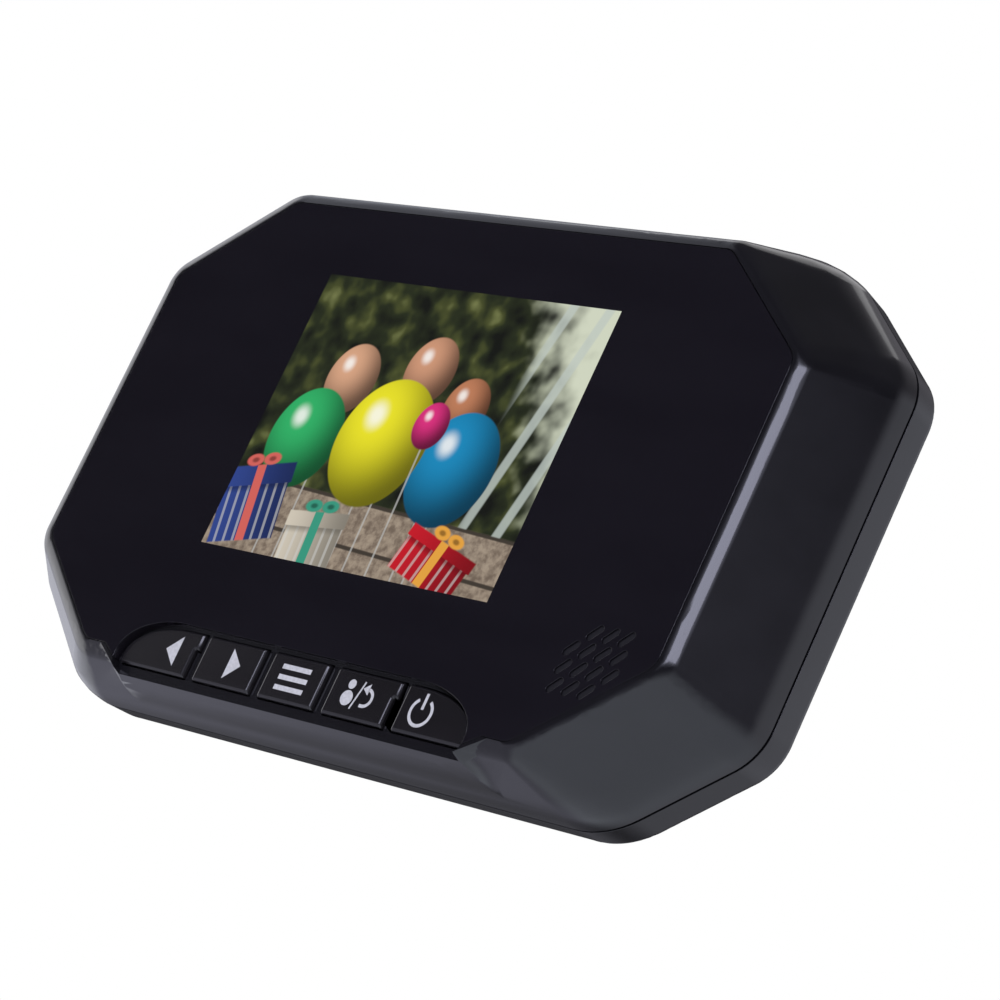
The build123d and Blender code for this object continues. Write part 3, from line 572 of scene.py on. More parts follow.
@dataclass(frozen=True)
class Balloon:
    """A balloon in the display's picture, in millimetres from the picture's middle."""

    x: float
    z: float
    radius: float
    tint: Colour
    slimness: float = 0.9
    string_lean: float = 0.04
    string_half: float = 0.10
    string_share: float = 0.6
    string_tint: Colour = (0.5, 0.5, 0.48)
    light_left: float = 0.36
    light_up: float = 0.40
    shade_span: Span = (0.2, 1.5)
    shade_share: float = 0.18
    gleam_span: Span = (0.05, 0.32)
    gleam_share: float = 0.75
    gleam_tint: Colour = (0.95, 0.95, 0.92)


@dataclass(frozen=True)
class Parcel:
    """A gift box in the display's picture, in millimetres from the picture's middle."""

    x: float
    z: float
    half_width: float
    half_height: float
    lean: float
    paper: Colour
    ribbon: Colour
    lid_share: float = 0.45
    lid_past: float = 0.5
    shade_span: Span = (-1.3, 1.3)
    shade_share: float = 0.35
    stripe_waves: float = 3.4
    stripe_span: Span = (0.5, 0.8)
    stripe_share: float = 0.45
    stripe_tint: Colour = (0.62, 0.62, 0.60)
    shadow_drop: float = 1.2
    shadow_share: float = 0.6
    shadow_tone: float = 0.2
    ribbon_half: float = 0.8
    loop_out: float = 1.7
    loop_up: float = 0.9
    loop_high: float = 1.0
    loop_span: Span = (0.2, 0.6)
    loop_tone: float = 0.4


@dataclass
class Picture:
    """The display's picture, painted from the back to the front by formula.

    The grain of the leaves and stones is in metres, and other lengths are millimetres from
    the picture's middle. A span gives where a step begins and where it is complete.
    """

    surface: Surface
    soft: float = 0.16
    leaf: float = 4.2 * MM
    leaf_detail: float = 1.6
    leaf_tones: Stops = (
        (0.32, (0.006, 0.007, 0.004)), (0.50, (0.020, 0.026, 0.010)),
        (0.64, (0.060, 0.070, 0.020)), (0.80, (0.20, 0.22, 0.08)),
    )
    day_across: float = 0.10
    day_up: float = 0.05
    day_leaves: float = 2.0
    day_span: Span = (3.3, 4.6)
    daylight: Colour = (0.62, 0.66, 0.52)
    slat_across: float = 0.9
    slat_up: float = 0.22
    slat_span: Span = (0.55, 0.85)
    slat_start: Span = (17.0, 20.0)
    slat_share: float = 0.7
    slat: Colour = (0.50, 0.56, 0.52)
    stone: float = 1.4 * MM
    stone_detail: float = 4.0
    stone_rough: float = 0.6
    stone_span: Span = (0.3, 0.7)
    stone_deep: Colour = (0.16, 0.12, 0.09)
    stone_pale: Colour = (0.36, 0.29, 0.22)
    paving_lean: float = 0.05
    paving_top: float = -12.0
    joint_waves: float = 0.9
    joint_span: Span = (0.93, 0.99)
    joint: Colour = (0.05, 0.04, 0.03)

    def __post_init__(self) -> None:
        """Works out the picture's own coordinates and starts with a black picture."""
        self.place = self.surface.place()
        x, _, z = self.surface.parts(self.place)
        self.across = x / MM
        self.up = (z - PICTURE_Z) / MM
        self.colour: Any = (0.0, 0.0, 0.0)

    def lay(self, mask: Value, colour: Any) -> None:
        """Lays a colour over the picture where the mask is 1."""
        self.colour = self.surface.blend(mask, self.colour, colour)

    def garden(self) -> None:
        """Out of focus leaves, with daylight and slats at the right."""
        leaves = self.surface.noise(self.place, self.leaf, self.leaf_detail)
        self.colour = self.surface.ramp(leaves, self.leaf_tones)
        day = self.across * self.day_across + self.up * self.day_up + leaves * self.day_leaves
        self.lay(day.step(*self.day_span), self.daylight)
        slats = (self.across * self.slat_across - self.up * self.slat_up).maths("SINE")
        slats = slats.step(*self.slat_span) * self.across.step(*self.slat_start)
        self.lay(slats * self.slat_share, self.slat)

    def paving(self) -> None:
        """The pale stones at the foot of the picture, with their joints."""
        s = self.surface
        stone = s.noise(self.place, self.stone, self.stone_detail, self.stone_rough)
        colour = s.blend(stone.step(*self.stone_span), self.stone_deep, self.stone_pale)
        edge = self.up + self.across * self.paving_lean
        joints = (edge * self.joint_waves).maths("SINE").step(*self.joint_span)
        colour = s.blend(joints, colour, self.joint)
        self.lay(1.0 - edge.step(self.paving_top - self.soft, self.paving_top + self.soft), colour)

    def balloon(self, b: Balloon) -> None:
        """Adds a balloon with its shade, gleam and string.

        Args:
            b: the balloon.
        """
        s = self.surface
        dx = self.across - b.x
        dz = (self.up - b.z) * b.slimness
        string = abs(dx + dz * b.string_lean).step(b.string_half + self.soft, b.string_half)
        below = (b.z - self.up).step(b.radius, b.radius + self.soft)
        self.lay(string * below * b.string_share, b.string_tint)
        toward = distance(dx + b.light_left * b.radius, dz - b.light_up * b.radius) / b.radius
        shade = s.blend(toward.step(*b.shade_span), b.tint, tinted(b.tint, b.shade_share))
        gleam = (1.0 - toward.step(*b.gleam_span)) * b.gleam_share
        shade = s.blend(gleam, shade, b.gleam_tint)
        self.lay(distance(dx, dz).step(b.radius + self.soft, b.radius - self.soft), shade)

    def parcel(self, p: Parcel) -> None:
        """Adds a striped gift box with a lid, a ribbon and a bow.

        Args:
            p: the parcel.
        """
        s = self.surface
        dx, dz = self.across - p.x, self.up - p.z
        along = dx * math.cos(p.lean) + dz * math.sin(p.lean)
        high = dz * math.cos(p.lean) - dx * math.sin(p.lean)
        lid_foot = p.half_height * p.lid_share
        lid = high.step(lid_foot, lid_foot + self.soft)
        box = (abs(along) - (lid * p.lid_past + p.half_width)).at_least(abs(high) - p.half_height)
        shade = (along / p.half_width).step(*p.shade_span)
        lit = s.blend(shade, p.paper, tinted(p.paper, p.shade_share))
        stripes = (along * p.stripe_waves).maths("SINE").step(*p.stripe_span) * (1.0 - lid)
        lit = s.blend(stripes * p.stripe_share, lit, p.stripe_tint)
        shadow = high.step(lid_foot - p.shadow_drop, lid_foot) * (1.0 - lid)
        lit = s.blend(shadow * p.shadow_share, lit, tinted(p.paper, p.shadow_tone))
        tied = abs(along).step(p.ribbon_half + self.soft, p.ribbon_half)
        self.lay(box.step(self.soft, -self.soft), s.blend(tied, lit, p.ribbon))
        loops = distance((abs(along) - p.loop_out) / p.loop_out,
                         (high - p.half_height - p.loop_up) / p.loop_high)
        bow = s.blend(loops.step(*p.loop_span), tinted(p.ribbon, p.loop_tone), p.ribbon)
        self.lay(loops.step(1.0 + self.soft, 1.0 - self.soft), bow)


@dataclass(frozen=True)
class LitScreen:
    """The lit display: a garden with balloons and parcels."""

    name: str = "screen_picture"
    glass: Colour = (0.004, 0.004, 0.005)
    roughness: float = 0.09
    specular: float = 0.4
    brightness: float = 1.0
    balloons: tuple[Balloon, ...] = (
        Balloon(-15.5, 6.5, 5.2, (0.66, 0.36, 0.22)), Balloon(-0.5, 9.5, 5.0, (0.60, 0.30, 0.18)),
        Balloon(9.6, 4.6, 4.4, (0.50, 0.20, 0.10)), Balloon(-19.5, -3.8, 7.4, (0.03, 0.42, 0.13)),
        Balloon(12.5, -4.8, 8.2, (0.01, 0.24, 0.48)), Balloon(-3.6, -2.6, 9.3, (0.80, 0.74, 0.02)),
        Balloon(4.6, 1.2, 3.4, (0.68, 0.03, 0.20)),
    )
    parcels: tuple[Parcel, ...] = (
        Parcel(-24.0, -15.2, 6.5, 6.2, 0.2, (0.03, 0.06, 0.26), (0.62, 0.12, 0.10)),
        Parcel(16.8, -19.0, 7.2, 3.6, -0.28, (0.55, 0.01, 0.02), (0.75, 0.35, 0.05)),
        Parcel(-8.6, -19.2, 5.6, 4.6, 0.08, (0.62, 0.56, 0.46), (0.04, 0.30, 0.20)),
    )

    def make(self) -> bpy.types.Material:
        """Builds the material."""
        s = Surface(self.name, Base_Color=self.glass, Roughness=self.roughness,
                    Specular_IOR_Level=self.specular)
        picture = Picture(s)
        picture.garden()
        picture.paving()
        for balloon in self.balloons:
            picture.balloon(balloon)
        for parcel in self.parcels:
            picture.parcel(parcel)
        s.feed("Emission Color", picture.colour)
        s.feed("Emission Strength", self.brightness)
        return s.material


FINISHES = {finish.name: finish for finish in (
    Moulding("case_black", (0.0085, 0.0082, 0.0105), 0.13, relief=0.0003 * MM),
    Moulding("panel_black", (0.0088, 0.0078, 0.0112), 0.045, drift=0.05, gloss_drift=0.012,
             relief=0.00004 * MM),
    Moulding("key_black", (0.0105, 0.0095, 0.0115), 0.16, relief=0.0003 * MM),
    Moulding("guide_white", (0.75, 0.76, 0.78), 0.5, drift=0.03),
    Moulding("socket_ivory", (0.55, 0.50, 0.40), 0.42, drift=0.06),
    Moulding("chip_black", (0.02, 0.02, 0.022), 0.55, relief=0.004 * MM),
    Moulding("coil_grey", (0.10, 0.10, 0.105), 0.6, relief=0.006 * MM),
    Moulding("cone_film", (0.08, 0.08, 0.085), 0.4, drift=0.1),
    Foam("foam_black", (0.012, 0.012, 0.013)),
    Foam("slot_cloth", (0.0085, 0.008, 0.010)),
    SheetMetal("frame_steel", (0.56, 0.56, 0.57)),
    SheetMetal("bracket_steel", (0.50, 0.50, 0.51), 0.36, 0.2 * MM),
    SheetMetal("contact_nickel", (0.66, 0.62, 0.54), 0.2),
    SheetMetal("screw_steel", (0.48, 0.48, 0.49), 0.26),
    CoverGlass(), CircuitBoard(), RibbonFilm(), CellJacket(), PrintedInk(), LitScreen(),
)}


class Finisher:
    """Makes each material once and dresses pieces in it."""

    def __init__(self) -> None:
        """Starts with no materials."""
        self.made: dict[str, bpy.types.Material] = {}

    def dress(self, piece: bpy.types.Object, finish: str) -> None:
        """Gives a piece its finish.

        Args:
            piece: the object.
            finish: the finish's name in FINISHES.
        """
        if finish not in self.made:
            self.made[finish] = FINISHES[finish].make()
        piece.data.materials.clear()
        piece.data.materials.append(self.made[finish])


@dataclass
class Workshop:
    """Turns meshes into pieces that ride on the frame."""

    finisher: Finisher = field(default_factory=Finisher)
    merge: float = 0.0005 * MM
    flat_angle: float = math.radians(0.4)
    sharp_angle: float = math.radians(32.0)

    def new_piece(self, bm: bmesh.types.BMesh, name: str, body: Body, finish: str,
                  slot: str | None = None) -> bpy.types.Object:
        """Makes an object of a bmesh and puts it on its body.

        Args:
            bm: the shape, which is freed.
            name: the piece's name.
            body: the body it rides on.
            finish: its finish.
            slot: the record's material slot, where it isn't the finish's name; not used.

        Returns:
            The object.
        """
        piece = add_mesh(name, bm)
        self.finisher.dress(piece, finish)
        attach(piece, body.value)
        log.info("built %s", name)
        return piece

    def skin(self, node: str, body: Body, finish: str, edge: float, segments: int = 3) -> None:
        """Replaces a node by a copy with its facets joined and its edges rounded.

        Args:
            node: the node that it stands for.
            body: the body it rides on.
            finish: its finish.
            edge: the width of the rounded edges.
            segments: the faces across a rounded edge.
        """
        bm = bmesh.new()
        bm.from_mesh(frame["nodes"][node].data)
        bmesh.ops.remove_doubles(bm, verts=bm.verts, dist=self.merge)
        bmesh.ops.dissolve_limit(bm, angle_limit=self.flat_angle, use_dissolve_boundaries=False,
                                 verts=bm.verts, edges=bm.edges, delimit=set())
        for face in bm.faces:
            face.smooth = True
        piece = self.new_piece(bm, f"{node}_skin", body, finish)
        self.round_edges(piece, edge, segments)
        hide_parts(node)

    def round_edges(self, piece: bpy.types.Object, edge: float, segments: int) -> None:
        """Rounds a piece's sharp edges and evens its shading.

        Args:
            piece: the object.
            edge: the width of the rounded edges.
            segments: the faces across one.
        """
        bevel = piece.modifiers.new("round_edges", "BEVEL")
        bevel.width = edge
        bevel.segments = segments
        bevel.limit_method = "ANGLE"
        bevel.angle_limit = self.sharp_angle
        bevel.miter_outer = "MITER_ARC"
        bevel.use_clamp_overlap = True
        normals = piece.modifiers.new("even_shading", "WEIGHTED_NORMAL")
        normals.keep_sharp = True


@dataclass
class PhotoCamera:
    """The photograph's viewpoint, fitted to the panel's and the screen's corners."""

    aim: Vector = field(default_factory=lambda: Vector((24.055, -20.85, -4.352)) * MM)
    distance: float = 514.75 * MM
    azimuth: float = math.radians(46.885)
    elevation: float = math.radians(-14.094)
    roll: float = math.radians(24.994)
    lens: float = 134.906
    sensor: float = 36.0
    near_clip: float = 10.0 * MM

    def build(self) -> None:
        """Makes it the scene's camera."""
        data = bpy.data.cameras.new("photo_camera")
        data.lens = self.lens
        data.sensor_fit = "HORIZONTAL"
        data.sensor_width = self.sensor
        data.clip_start = self.near_clip
        camera = add_object("photo_camera", data)
        flat = math.cos(self.elevation)
        back = Vector((math.sin(self.azimuth) * flat, -math.cos(self.azimuth) * flat,
                       math.sin(self.elevation)))
        camera.location = self.aim + back * self.distance
        upright = (-back).to_track_quat("-Z", "Y")
        camera.rotation_mode = "QUATERNION"
        camera.rotation_quaternion = upright @ Quaternion((0.0, 0.0, 1.0), self.roll)
        bpy.context.scene.camera = camera


@dataclass
class SoftBox:
    """A soft lamp aimed at the monitor."""

    name: str
    direction: Vector
    distance: float
    width: float
    height: float
    radiance: float
    colour: Colour = WHITE

    def build(self) -> None:
        """Adds the lamp."""
        data = bpy.data.lights.new(self.name, "AREA")
        data.shape = "RECTANGLE"
        data.size = self.width
        data.size_y = self.height
        data.energy = self.radiance * math.pi * self.width * self.height
        data.color = self.colour
        lamp = add_object(self.name, data)
        way = self.direction.normalized()
        lamp.location = way * self.distance
        lamp.rotation_mode = "QUATERNION"
        lamp.rotation_quaternion = (-way).to_track_quat("-Z", "Y")


@dataclass(frozen=True)
class MirroredRoom:
    """The room as the glossy case reflects it, dark before the screen and bright beside it.

    Each span is measured on a part of the unit direction, X to the right, Y towards the door
    or Z upwards. It gives where a wall begins to show and where it shows fully.
    """

    front: Colour = (0.012, 0.012, 0.012)
    right: Colour = (0.26, 0.26, 0.32)
    right_x: Span = (0.60, 0.84)
    right_z: Span = (0.37, 0.22)
    behind_left: Colour = (0.05, 0.05, 0.055)
    behind_right: Colour = (0.84, 0.86, 0.97)
    behind_high: Colour = (0.25, 0.24, 0.27)
    behind_x: Span = (-0.45, 0.30)
    behind_z: Span = (0.40, 0.75)
    behind_y: Span = (-0.10, 0.35)
    ceiling_front: Colour = (0.055, 0.055, 0.055)
    ceiling_back: Colour = (0.36, 0.35, 0.38)
    ceiling_y: Span = (0.08, 0.55)
    ceiling_z: Span = (0.60, 0.85)
    low_right: Colour = (1.0, 1.07, 1.22)
    low_right_y: Span = (0.68, 0.44)
    low_right_z: Span = (-0.05, -0.55)
    low_left: Colour = (0.47, 0.47, 0.58)
    low_left_back: Colour = (0.14, 0.14, 0.16)
    low_left_y: Span = (0.66, 0.44)
    low_left_z: Span = (0.02, -0.22)
    low_left_x: Span = (-0.30, -0.60)
    high_left: Colour = (0.60, 0.62, 0.70)
    high_left_x: Span = (-0.60, -0.72)
    high_left_z: Span = (0.34, 0.52)
    high_left_y: Span = (0.75, 0.30)
    left: Colour = (2.1, 2.1, 2.2)
    left_back: Colour = (0.70, 0.71, 0.80)
    left_y: Span = (-0.30, 0.45)
    left_x: Span = (-0.785, -0.84)
    glow: Colour = (1.4, 1.43, 1.8)
    glow_left_x: Span = (-0.60, -0.05)
    glow_right_x: Span = (0.90, 0.68)
    glow_middle_z: float = 0.26
    glow_reach_z: Span = (0.25, 0.10)
    glow_y: Span = (-0.35, -0.55)

    def colour(self, g: Graph, x: Value, y: Value, z: Value) -> Value:
        """Paints the walls over each other.

        Args:
            g: the world's graph.
            x: the direction's part to the right.
            y: its part towards the door.
            z: its part upwards.

        Returns:
            The colour in that direction.
        """
        seen = g.blend(x.step(*self.right_x) * z.step(*self.right_z), self.front, self.right)
        behind = g.blend(x.step(*self.behind_x), self.behind_left, self.behind_right)
        behind = g.blend(z.step(*self.behind_z), behind, self.behind_high)
        seen = g.blend(y.step(*self.behind_y), seen, behind)
        ceiling = g.blend(y.step(*self.ceiling_y), self.ceiling_front, self.ceiling_back)
        seen = g.blend(z.step(*self.ceiling_z), seen, ceiling)
        low = g.blend(y.step(*self.low_right_y), behind, self.low_right)
        seen = g.blend(z.step(*self.low_right_z), seen, low)
        low = g.blend(y.step(*self.low_left_y), self.low_left_back, self.low_left)
        seen = g.blend(z.step(*self.low_left_z) * x.step(*self.low_left_x), seen, low)
        high = x.step(*self.high_left_x) * z.step(*self.high_left_z) * y.step(*self.high_left_y)
        seen = g.blend(high, seen, self.high_left)
        left = g.blend(y.step(*self.left_y), self.left, self.left_back)
        seen = g.blend(x.step(*self.left_x), seen, left)
        band = x.step(*self.glow_left_x) * x.step(*self.glow_right_x)
        band = band * abs(z - self.glow_middle_z).step(*self.glow_reach_z)
        return g.blend(band * y.step(*self.glow_y), seen, self.glow)


@dataclass
class Studio:
    """A white studio for the camera, with a floor, two lamps and a room for the reflections."""

    floor_z: float = -250.0 * MM
    floor_half: float = 6.0
    floor_deep: Colour = (0.86, 0.86, 0.86)
    floor_pale: Colour = (0.90, 0.90, 0.90)
    floor_grain: float = 40.0 * MM
    floor_roughness: float = 0.7
    floor_specular: float = 0.1
    fill: Colour = (0.62, 0.62, 0.62)
    room: MirroredRoom = MirroredRoom()
    lamps: list[SoftBox] = field(default_factory=lambda: [
        SoftBox("shoulder_lamp", Vector((0.29, -0.92, 0.255)), 1.0, 0.96, 0.30, 5.7,
                (0.78, 0.79, 1.0)),
        SoftBox("top_lamp", Vector((-0.5, 0.35, 1.0)), 1.4, 0.9, 0.7, 0.8),
    ])

    def build(self) -> None:
        """Makes the world, the floor and the lamps."""
        self._world()
        self._floor()
        for lamp in self.lamps:
            lamp.build()

    def _world(self) -> None:
        """White for the camera, the room for reflections and an even fill for the rest."""
        world = bpy.data.worlds.new("studio")
        world.use_nodes = True
        bpy.context.scene.world = world
        g = Graph(world.node_tree)
        seen = self.room.colour(g, *g.parts(g.node("ShaderNodeTexCoord", out="Generated")))
        rays = g.node("ShaderNodeLightPath").socket.node.outputs
        mirrored = Value(g, rays["Is Glossy Ray"]).at_least(Value(g, rays["Is Transmission Ray"]))
        colour = g.blend(mirrored, self.fill, seen)
        colour = g.blend(Value(g, rays["Is Camera Ray"]), colour, WHITE)
        g.plug(world.node_tree.nodes["Background"].inputs["Color"], colour)

    def _floor(self) -> None:
        """A pale floor, well below the monitor, that takes its shadow."""
        bm = bmesh.new()
        bmesh.ops.create_grid(bm, x_segments=2, y_segments=2, size=self.floor_half)
        bmesh.ops.translate(bm, vec=(0.0, 0.0, self.floor_z), verts=bm.verts)
        floor = add_mesh("studio_floor", bm)
        s = Surface("studio_floor", Roughness=self.floor_roughness,
                    Specular_IOR_Level=self.floor_specular)
        paper = s.noise(s.place(), self.floor_grain)
        s.feed("Base Color", s.blend(paper, self.floor_deep, self.floor_pale))
        floor.data.materials.append(s.material)
        floor.visible_glossy = False


@dataclass
class CaseShells:
    """The moulded case: front shell, rear cover and battery cover."""

    workshop: Workshop
    rim: float = 0.22 * MM
    back_rim: float = 0.2 * MM
    back_segments: int = 2

    def build(self) -> None:
        """Makes the three shells."""
        self.workshop.skin("front_shell", Body.MONITOR, "case_black", self.rim)
        for node, body in (("rear_cover", Body.MONITOR), ("battery_cover", Body.BATTERY_COVER)):
            self.workshop.skin(node, body, "case_black", self.back_rim, self.back_segments)


@dataclass
class FrontWindow:
    """The glossy panel, the lit picture seen through it and the cloth in its sound slots."""

    workshop: Workshop
    rim: float = 0.25 * MM
    picture_width: float = 60.5 * MM
    picture_height: float = 45.4 * MM
    film: float = 0.02 * MM
    slots_in: float = 11.0 * MM
    slots_rise: float = 13.15 * MM
    slot_pitch_x: float = 2.87 * MM
    slot_pitch_z: float = 2.72 * MM
    slot_rows: int = 4
    slot_long: float = 2.96 * MM
    slot_wide: float = 1.06 * MM
    slot_turn: float = math.radians(45.0)
    cloth_depth: float = 0.32 * MM
    cloth_thick: float = 0.05 * MM

    def build(self) -> None:
        """Makes the panel, the picture and the dust cloth in the sound slots."""
        self.workshop.skin("window_panel", Body.MONITOR, "panel_black", self.rim)
        near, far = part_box("window_panel")
        front = near.y
        bm = bmesh.new()
        bmesh.ops.create_cube(bm, size=1.0)
        bmesh.ops.scale(bm, vec=(self.picture_width, self.film * 2.0, self.picture_height),
                        verts=bm.verts)
        bmesh.ops.translate(bm, vec=(0.0, front, PICTURE_Z), verts=bm.verts)
        self.workshop.new_piece(bm, "screen_picture", Body.MONITOR, "screen_picture", "screen_glass")
        self._cloth(Vector((far.x - self.slots_in, front, self.slots_rise - far.z)))

    def _cloth(self, middle: Vector) -> None:
        """Closes each sound slot with a patch of cloth just under the panel's face.

        Args:
            middle: the middle of the slots, on the panel's face.
        """
        bm = bmesh.new()
        last = self.slot_rows - 1
        bare_corners = ((0, 0), (last, last))
        for row, column in itertools.product(range(self.slot_rows), repeat=2):
            if (row, column) not in bare_corners:
                place = middle + Vector(((column - last / 2.0) * self.slot_pitch_x, self.cloth_depth,
                                         (last / 2.0 - row) * self.slot_pitch_z))
                bmesh.ops.translate(bm, vec=place, verts=self._patch(bm))
        bmesh.ops.recalc_face_normals(bm, faces=bm.faces)
        self.workshop.new_piece(bm, "slot_cloth", Body.MONITOR, "slot_cloth", "panel_black")

    def _patch(self, bm: bmesh.types.BMesh) -> list[bmesh.types.BMVert]:
        """Adds one round ended patch, turned as the slots are.

        Args:
            bm: the cloth so far.

        Returns:
            The patch's vertices.
        """
        r = self.slot_wide / 2.0
        reach = self.slot_long / 2.0 - r
        disc = bmesh.ops.create_circle(bm, cap_ends=True, segments=ROUND_SEGMENTS, radius=r)["verts"]
        right = [v for v in disc if v.co.x > 0.0]
        left = [v for v in disc if v.co.x <= 0.0]
        bmesh.ops.translate(bm, vec=(reach, 0.0, 0.0), verts=right)
        bmesh.ops.translate(bm, vec=(-reach, 0.0, 0.0), verts=left)
        faces = list({face for v in disc for face in v.link_faces})
        patch = disc + extrude(bm, faces, (0.0, 0.0, -self.cloth_thick))
        turn(bm, patch, math.pi / 2.0, "X")
        turn(bm, patch, -self.slot_turn, "Y")
        return patch


@dataclass
class Sign:
    """A flat sign, drawn in the plane Y = 0."""

    stroke: float
    arc_steps: int = 28
    bm: bmesh.types.BMesh = field(default_factory=bmesh.new)

    def bar(self, x: float, z: float, width: float, height: float, lean: float = 0.0) -> None:
        """Adds a bar.

        Args:
            x: the bar's middle.
            z: its middle's height.
            width: its width.
            height: its height.
            lean: its turn, in radians.
        """
        made = bmesh.ops.create_grid(self.bm, x_segments=1, y_segments=1, size=0.5)["verts"]
        bmesh.ops.scale(self.bm, vec=(width, height, 1.0), verts=made)
        turn(self.bm, made, math.pi / 2.0, "X")
        turn(self.bm, made, lean, "Y")
        bmesh.ops.translate(self.bm, vec=(x, 0.0, z), verts=made)

    def disc(self, x: float, z: float, r: float) -> None:
        """Adds a disc of radius r about a middle at x and z."""
        made = bmesh.ops.create_circle(self.bm, cap_ends=True, segments=ROUND_SEGMENTS,
                                       radius=r)["verts"]
        turn(self.bm, made, math.pi / 2.0, "X")
        bmesh.ops.translate(self.bm, vec=(x, 0.0, z), verts=made)

    def arc(self, x: float, z: float, r: float, start: float, sweep: float) -> None:
        """Adds a curved stroke.

        Args:
            x: the arc's middle.
            z: its middle's height.
            r: its radius to the middle of the stroke.
            start: the angle it starts at, from +X towards +Z.
            sweep: the angle it covers.
        """
        ends = [self.bm.verts.new((x + r + side * self.stroke / 2.0, 0.0, z)) for side in (-1.0, 1.0)]
        edge = self.bm.edges.new(ends)
        bmesh.ops.rotate(self.bm, cent=(x, 0.0, z), matrix=Matrix.Rotation(-start, 3, "Y"),
                         verts=ends)
        bmesh.ops.spin(self.bm, geom=[*ends, edge], cent=(x, 0.0, z), axis=(0.0, -1.0, 0.0),
                       angle=sweep, steps=self.arc_steps, use_merge=False, dvec=(0.0, 0.0, 0.0))

    def arrow_head(self, tip: float, base: float, z: float, half: float) -> None:
        """Adds a triangle.

        Args:
            tip: its point's X.
            base: its other side's X.
            z: its middle's height.
            half: half the height of that side.
        """
        corners = ((tip, z), (base, z + half), (base, z - half))
        self.bm.faces.new([self.bm.verts.new((corner_x, 0.0, corner_z))
                           for corner_x, corner_z in corners])


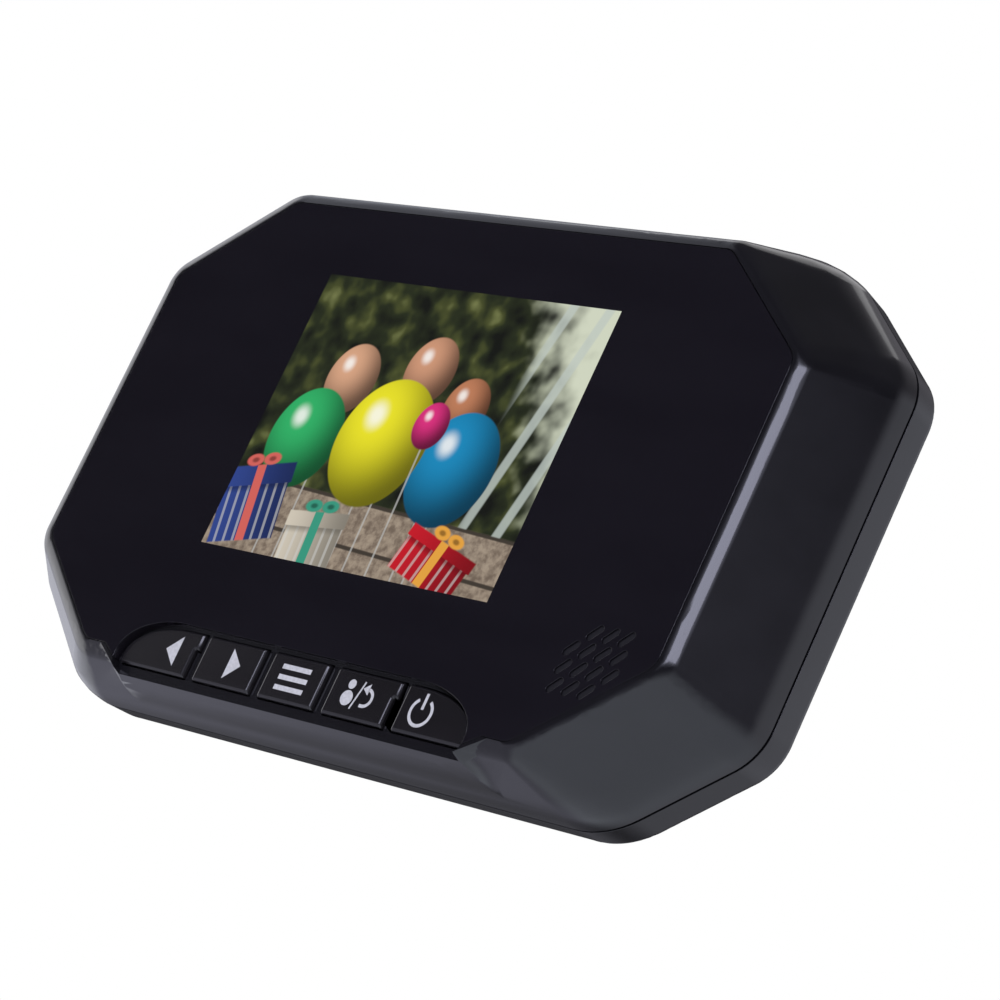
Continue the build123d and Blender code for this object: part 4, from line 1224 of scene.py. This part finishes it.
@dataclass
class KeyRow:
    """Five keys and the printed sign on each."""

    workshop: Workshop
    edge: float = 0.3 * MM
    ink: float = 0.02 * MM
    stroke: float = 0.5 * MM
    sign_z: float = -35.9 * MM
    left_x: float = -26.6 * MM
    right_x: float = -12.7 * MM
    arrow_half: float = 1.35 * MM
    arrow_high: float = 4.7 * MM
    menu_x: float = 0.0
    menu_width: float = 6.0 * MM
    bar_high: float = 0.75 * MM
    bar_pitch: float = 1.6 * MM
    caller_x: float = 11.75 * MM
    head_r: float = 0.72 * MM
    head_rise: float = 1.4 * MM
    body_r: float = 1.15 * MM
    body_drop: float = 0.7 * MM
    divider_x: float = 13.65 * MM
    divider_width: float = 0.28 * MM
    divider_high: float = 4.4 * MM
    divider_lean: float = math.radians(14.0)
    hook_x: float = 15.3 * MM
    hook_drop: float = 0.1 * MM
    hook_r: float = 1.25 * MM
    hook_tip: float = 1.1 * MM
    hook_base: float = 0.1 * MM
    hook_half: float = 0.85 * MM
    tail_x: float = 0.3 * MM
    tail_long: float = 0.6 * MM
    power_x: float = 26.5 * MM
    power_drop: float = 0.2 * MM
    power_r: float = 2.0 * MM
    power_gap: float = math.radians(66.0)
    power_bar_rise: float = 1.4 * MM
    power_bar_high: float = 2.4 * MM

    def build(self) -> None:
        """Makes the keys and their signs."""
        for body in (Body.LEFT_KEY, Body.RIGHT_KEY, Body.MENU_KEY, Body.ANSWER_KEY, Body.POWER_KEY):
            self.workshop.skin(body.value, body, "key_black", self.edge)
        self._arrow("left_sign", Body.LEFT_KEY, self.left_x, -self.arrow_half)
        self._arrow("right_sign", Body.RIGHT_KEY, self.right_x, self.arrow_half)
        self._menu_bars()
        self._caller_and_return()
        self._power()

    def _print(self, sign: Sign, name: str, key: Body) -> None:
        """Gives a sign its thickness and lays it on its key.

        Args:
            sign: the sign.
            name: the piece's name.
            key: the key's body.
        """
        bm = sign.bm
        face_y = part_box(key.value)[0].y
        bmesh.ops.recalc_face_normals(bm, faces=bm.faces)
        extrude(bm, list(bm.faces), (0.0, -self.ink * 2.0, 0.0))
        bmesh.ops.translate(bm, vec=(0.0, face_y + self.ink, 0.0), verts=bm.verts)
        bmesh.ops.recalc_face_normals(bm, faces=bm.faces)
        self.workshop.new_piece(bm, name, key, "key_print", "key_black")

    def _arrow(self, name: str, key: Body, x: float, reach: float) -> None:
        """A solid arrow head.

        Args:
            name: the piece's name.
            key: the key's body.
            x: its middle.
            reach: how far its point lies to the right of that.
        """
        sign = Sign(self.stroke)
        sign.arrow_head(x + reach, x - reach, self.sign_z, self.arrow_high / 2.0)
        self._print(sign, name, key)

    def _menu_bars(self) -> None:
        """Three bars, the plain sign for a menu."""
        sign = Sign(self.stroke)
        for row in (-1, 0, 1):
            sign.bar(self.menu_x, self.sign_z + row * self.bar_pitch, self.menu_width, self.bar_high)
        self._print(sign, "menu_sign", Body.MENU_KEY)

    def _caller_and_return(self) -> None:
        """A round head and shoulders, a dividing line and an arrow that turns back."""
        sign = Sign(self.stroke)
        sign.disc(self.caller_x, self.sign_z + self.head_rise, self.head_r)
        sign.disc(self.caller_x, self.sign_z - self.body_drop, self.body_r)
        sign.bar(self.divider_x, self.sign_z, self.divider_width, self.divider_high,
                 self.divider_lean)
        middle = self.sign_z - self.hook_drop
        sign.arc(self.hook_x, middle, self.hook_r, -math.pi / 2.0, math.pi)
        top = middle + self.hook_r
        sign.arrow_head(self.hook_x - self.hook_tip, self.hook_x + self.hook_base, top, self.hook_half)
        sign.bar(self.hook_x - self.tail_x, top - self.hook_r * 2.0, self.tail_long, self.stroke)
        self._print(sign, "answer_sign", Body.ANSWER_KEY)

    def _power(self) -> None:
        """A ring open at the top with a bar in the opening."""
        sign = Sign(self.stroke)
        start = math.pi / 2.0 + self.power_gap / 2.0
        sign.arc(self.power_x, self.sign_z - self.power_drop, self.power_r, start,
                 2.0 * math.pi - self.power_gap)
        sign.bar(self.power_x, self.sign_z + self.power_bar_rise, self.stroke, self.power_bar_high)
        self._print(sign, "power_sign", Body.POWER_KEY)


@dataclass
class WallMount:
    """The steel plate on the door."""

    workshop: Workshop
    edge: float = 0.15 * MM
    segments: int = 2

    def build(self) -> None:
        """Makes the plate."""
        self.workshop.skin("wall_bracket", Body.BRACKET, "bracket_steel", self.edge,
                           self.segments)


@dataclass
class InsideParts:
    """The nodes whose own shape is right, each in its finish."""

    workshop: Workshop

    def build(self) -> None:
        """Dresses every node that still shows by the record's slots."""
        slots = {part["node"]: part["material_slot"] for part in frame["record"]["subparts"]}
        for name, node in frame["nodes"].items():
            if not node.hide_render:
                self.workshop.finisher.dress(node, slots[name])
                log.info("dressed %s in %s", name, slots[name])


def main() -> None:
    """Builds the studio and every piece of the monitor."""
    logging.basicConfig(level=logging.INFO)
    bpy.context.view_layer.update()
    bpy.context.scene.view_settings.view_transform = "Standard"
    PhotoCamera().build()
    Studio().build()
    workshop = Workshop()
    for assembly in (CaseShells(workshop), FrontWindow(workshop), KeyRow(workshop),
                     WallMount(workshop), InsideParts(workshop)):
        assembly.build()


if __name__ == "__main__":
    main()
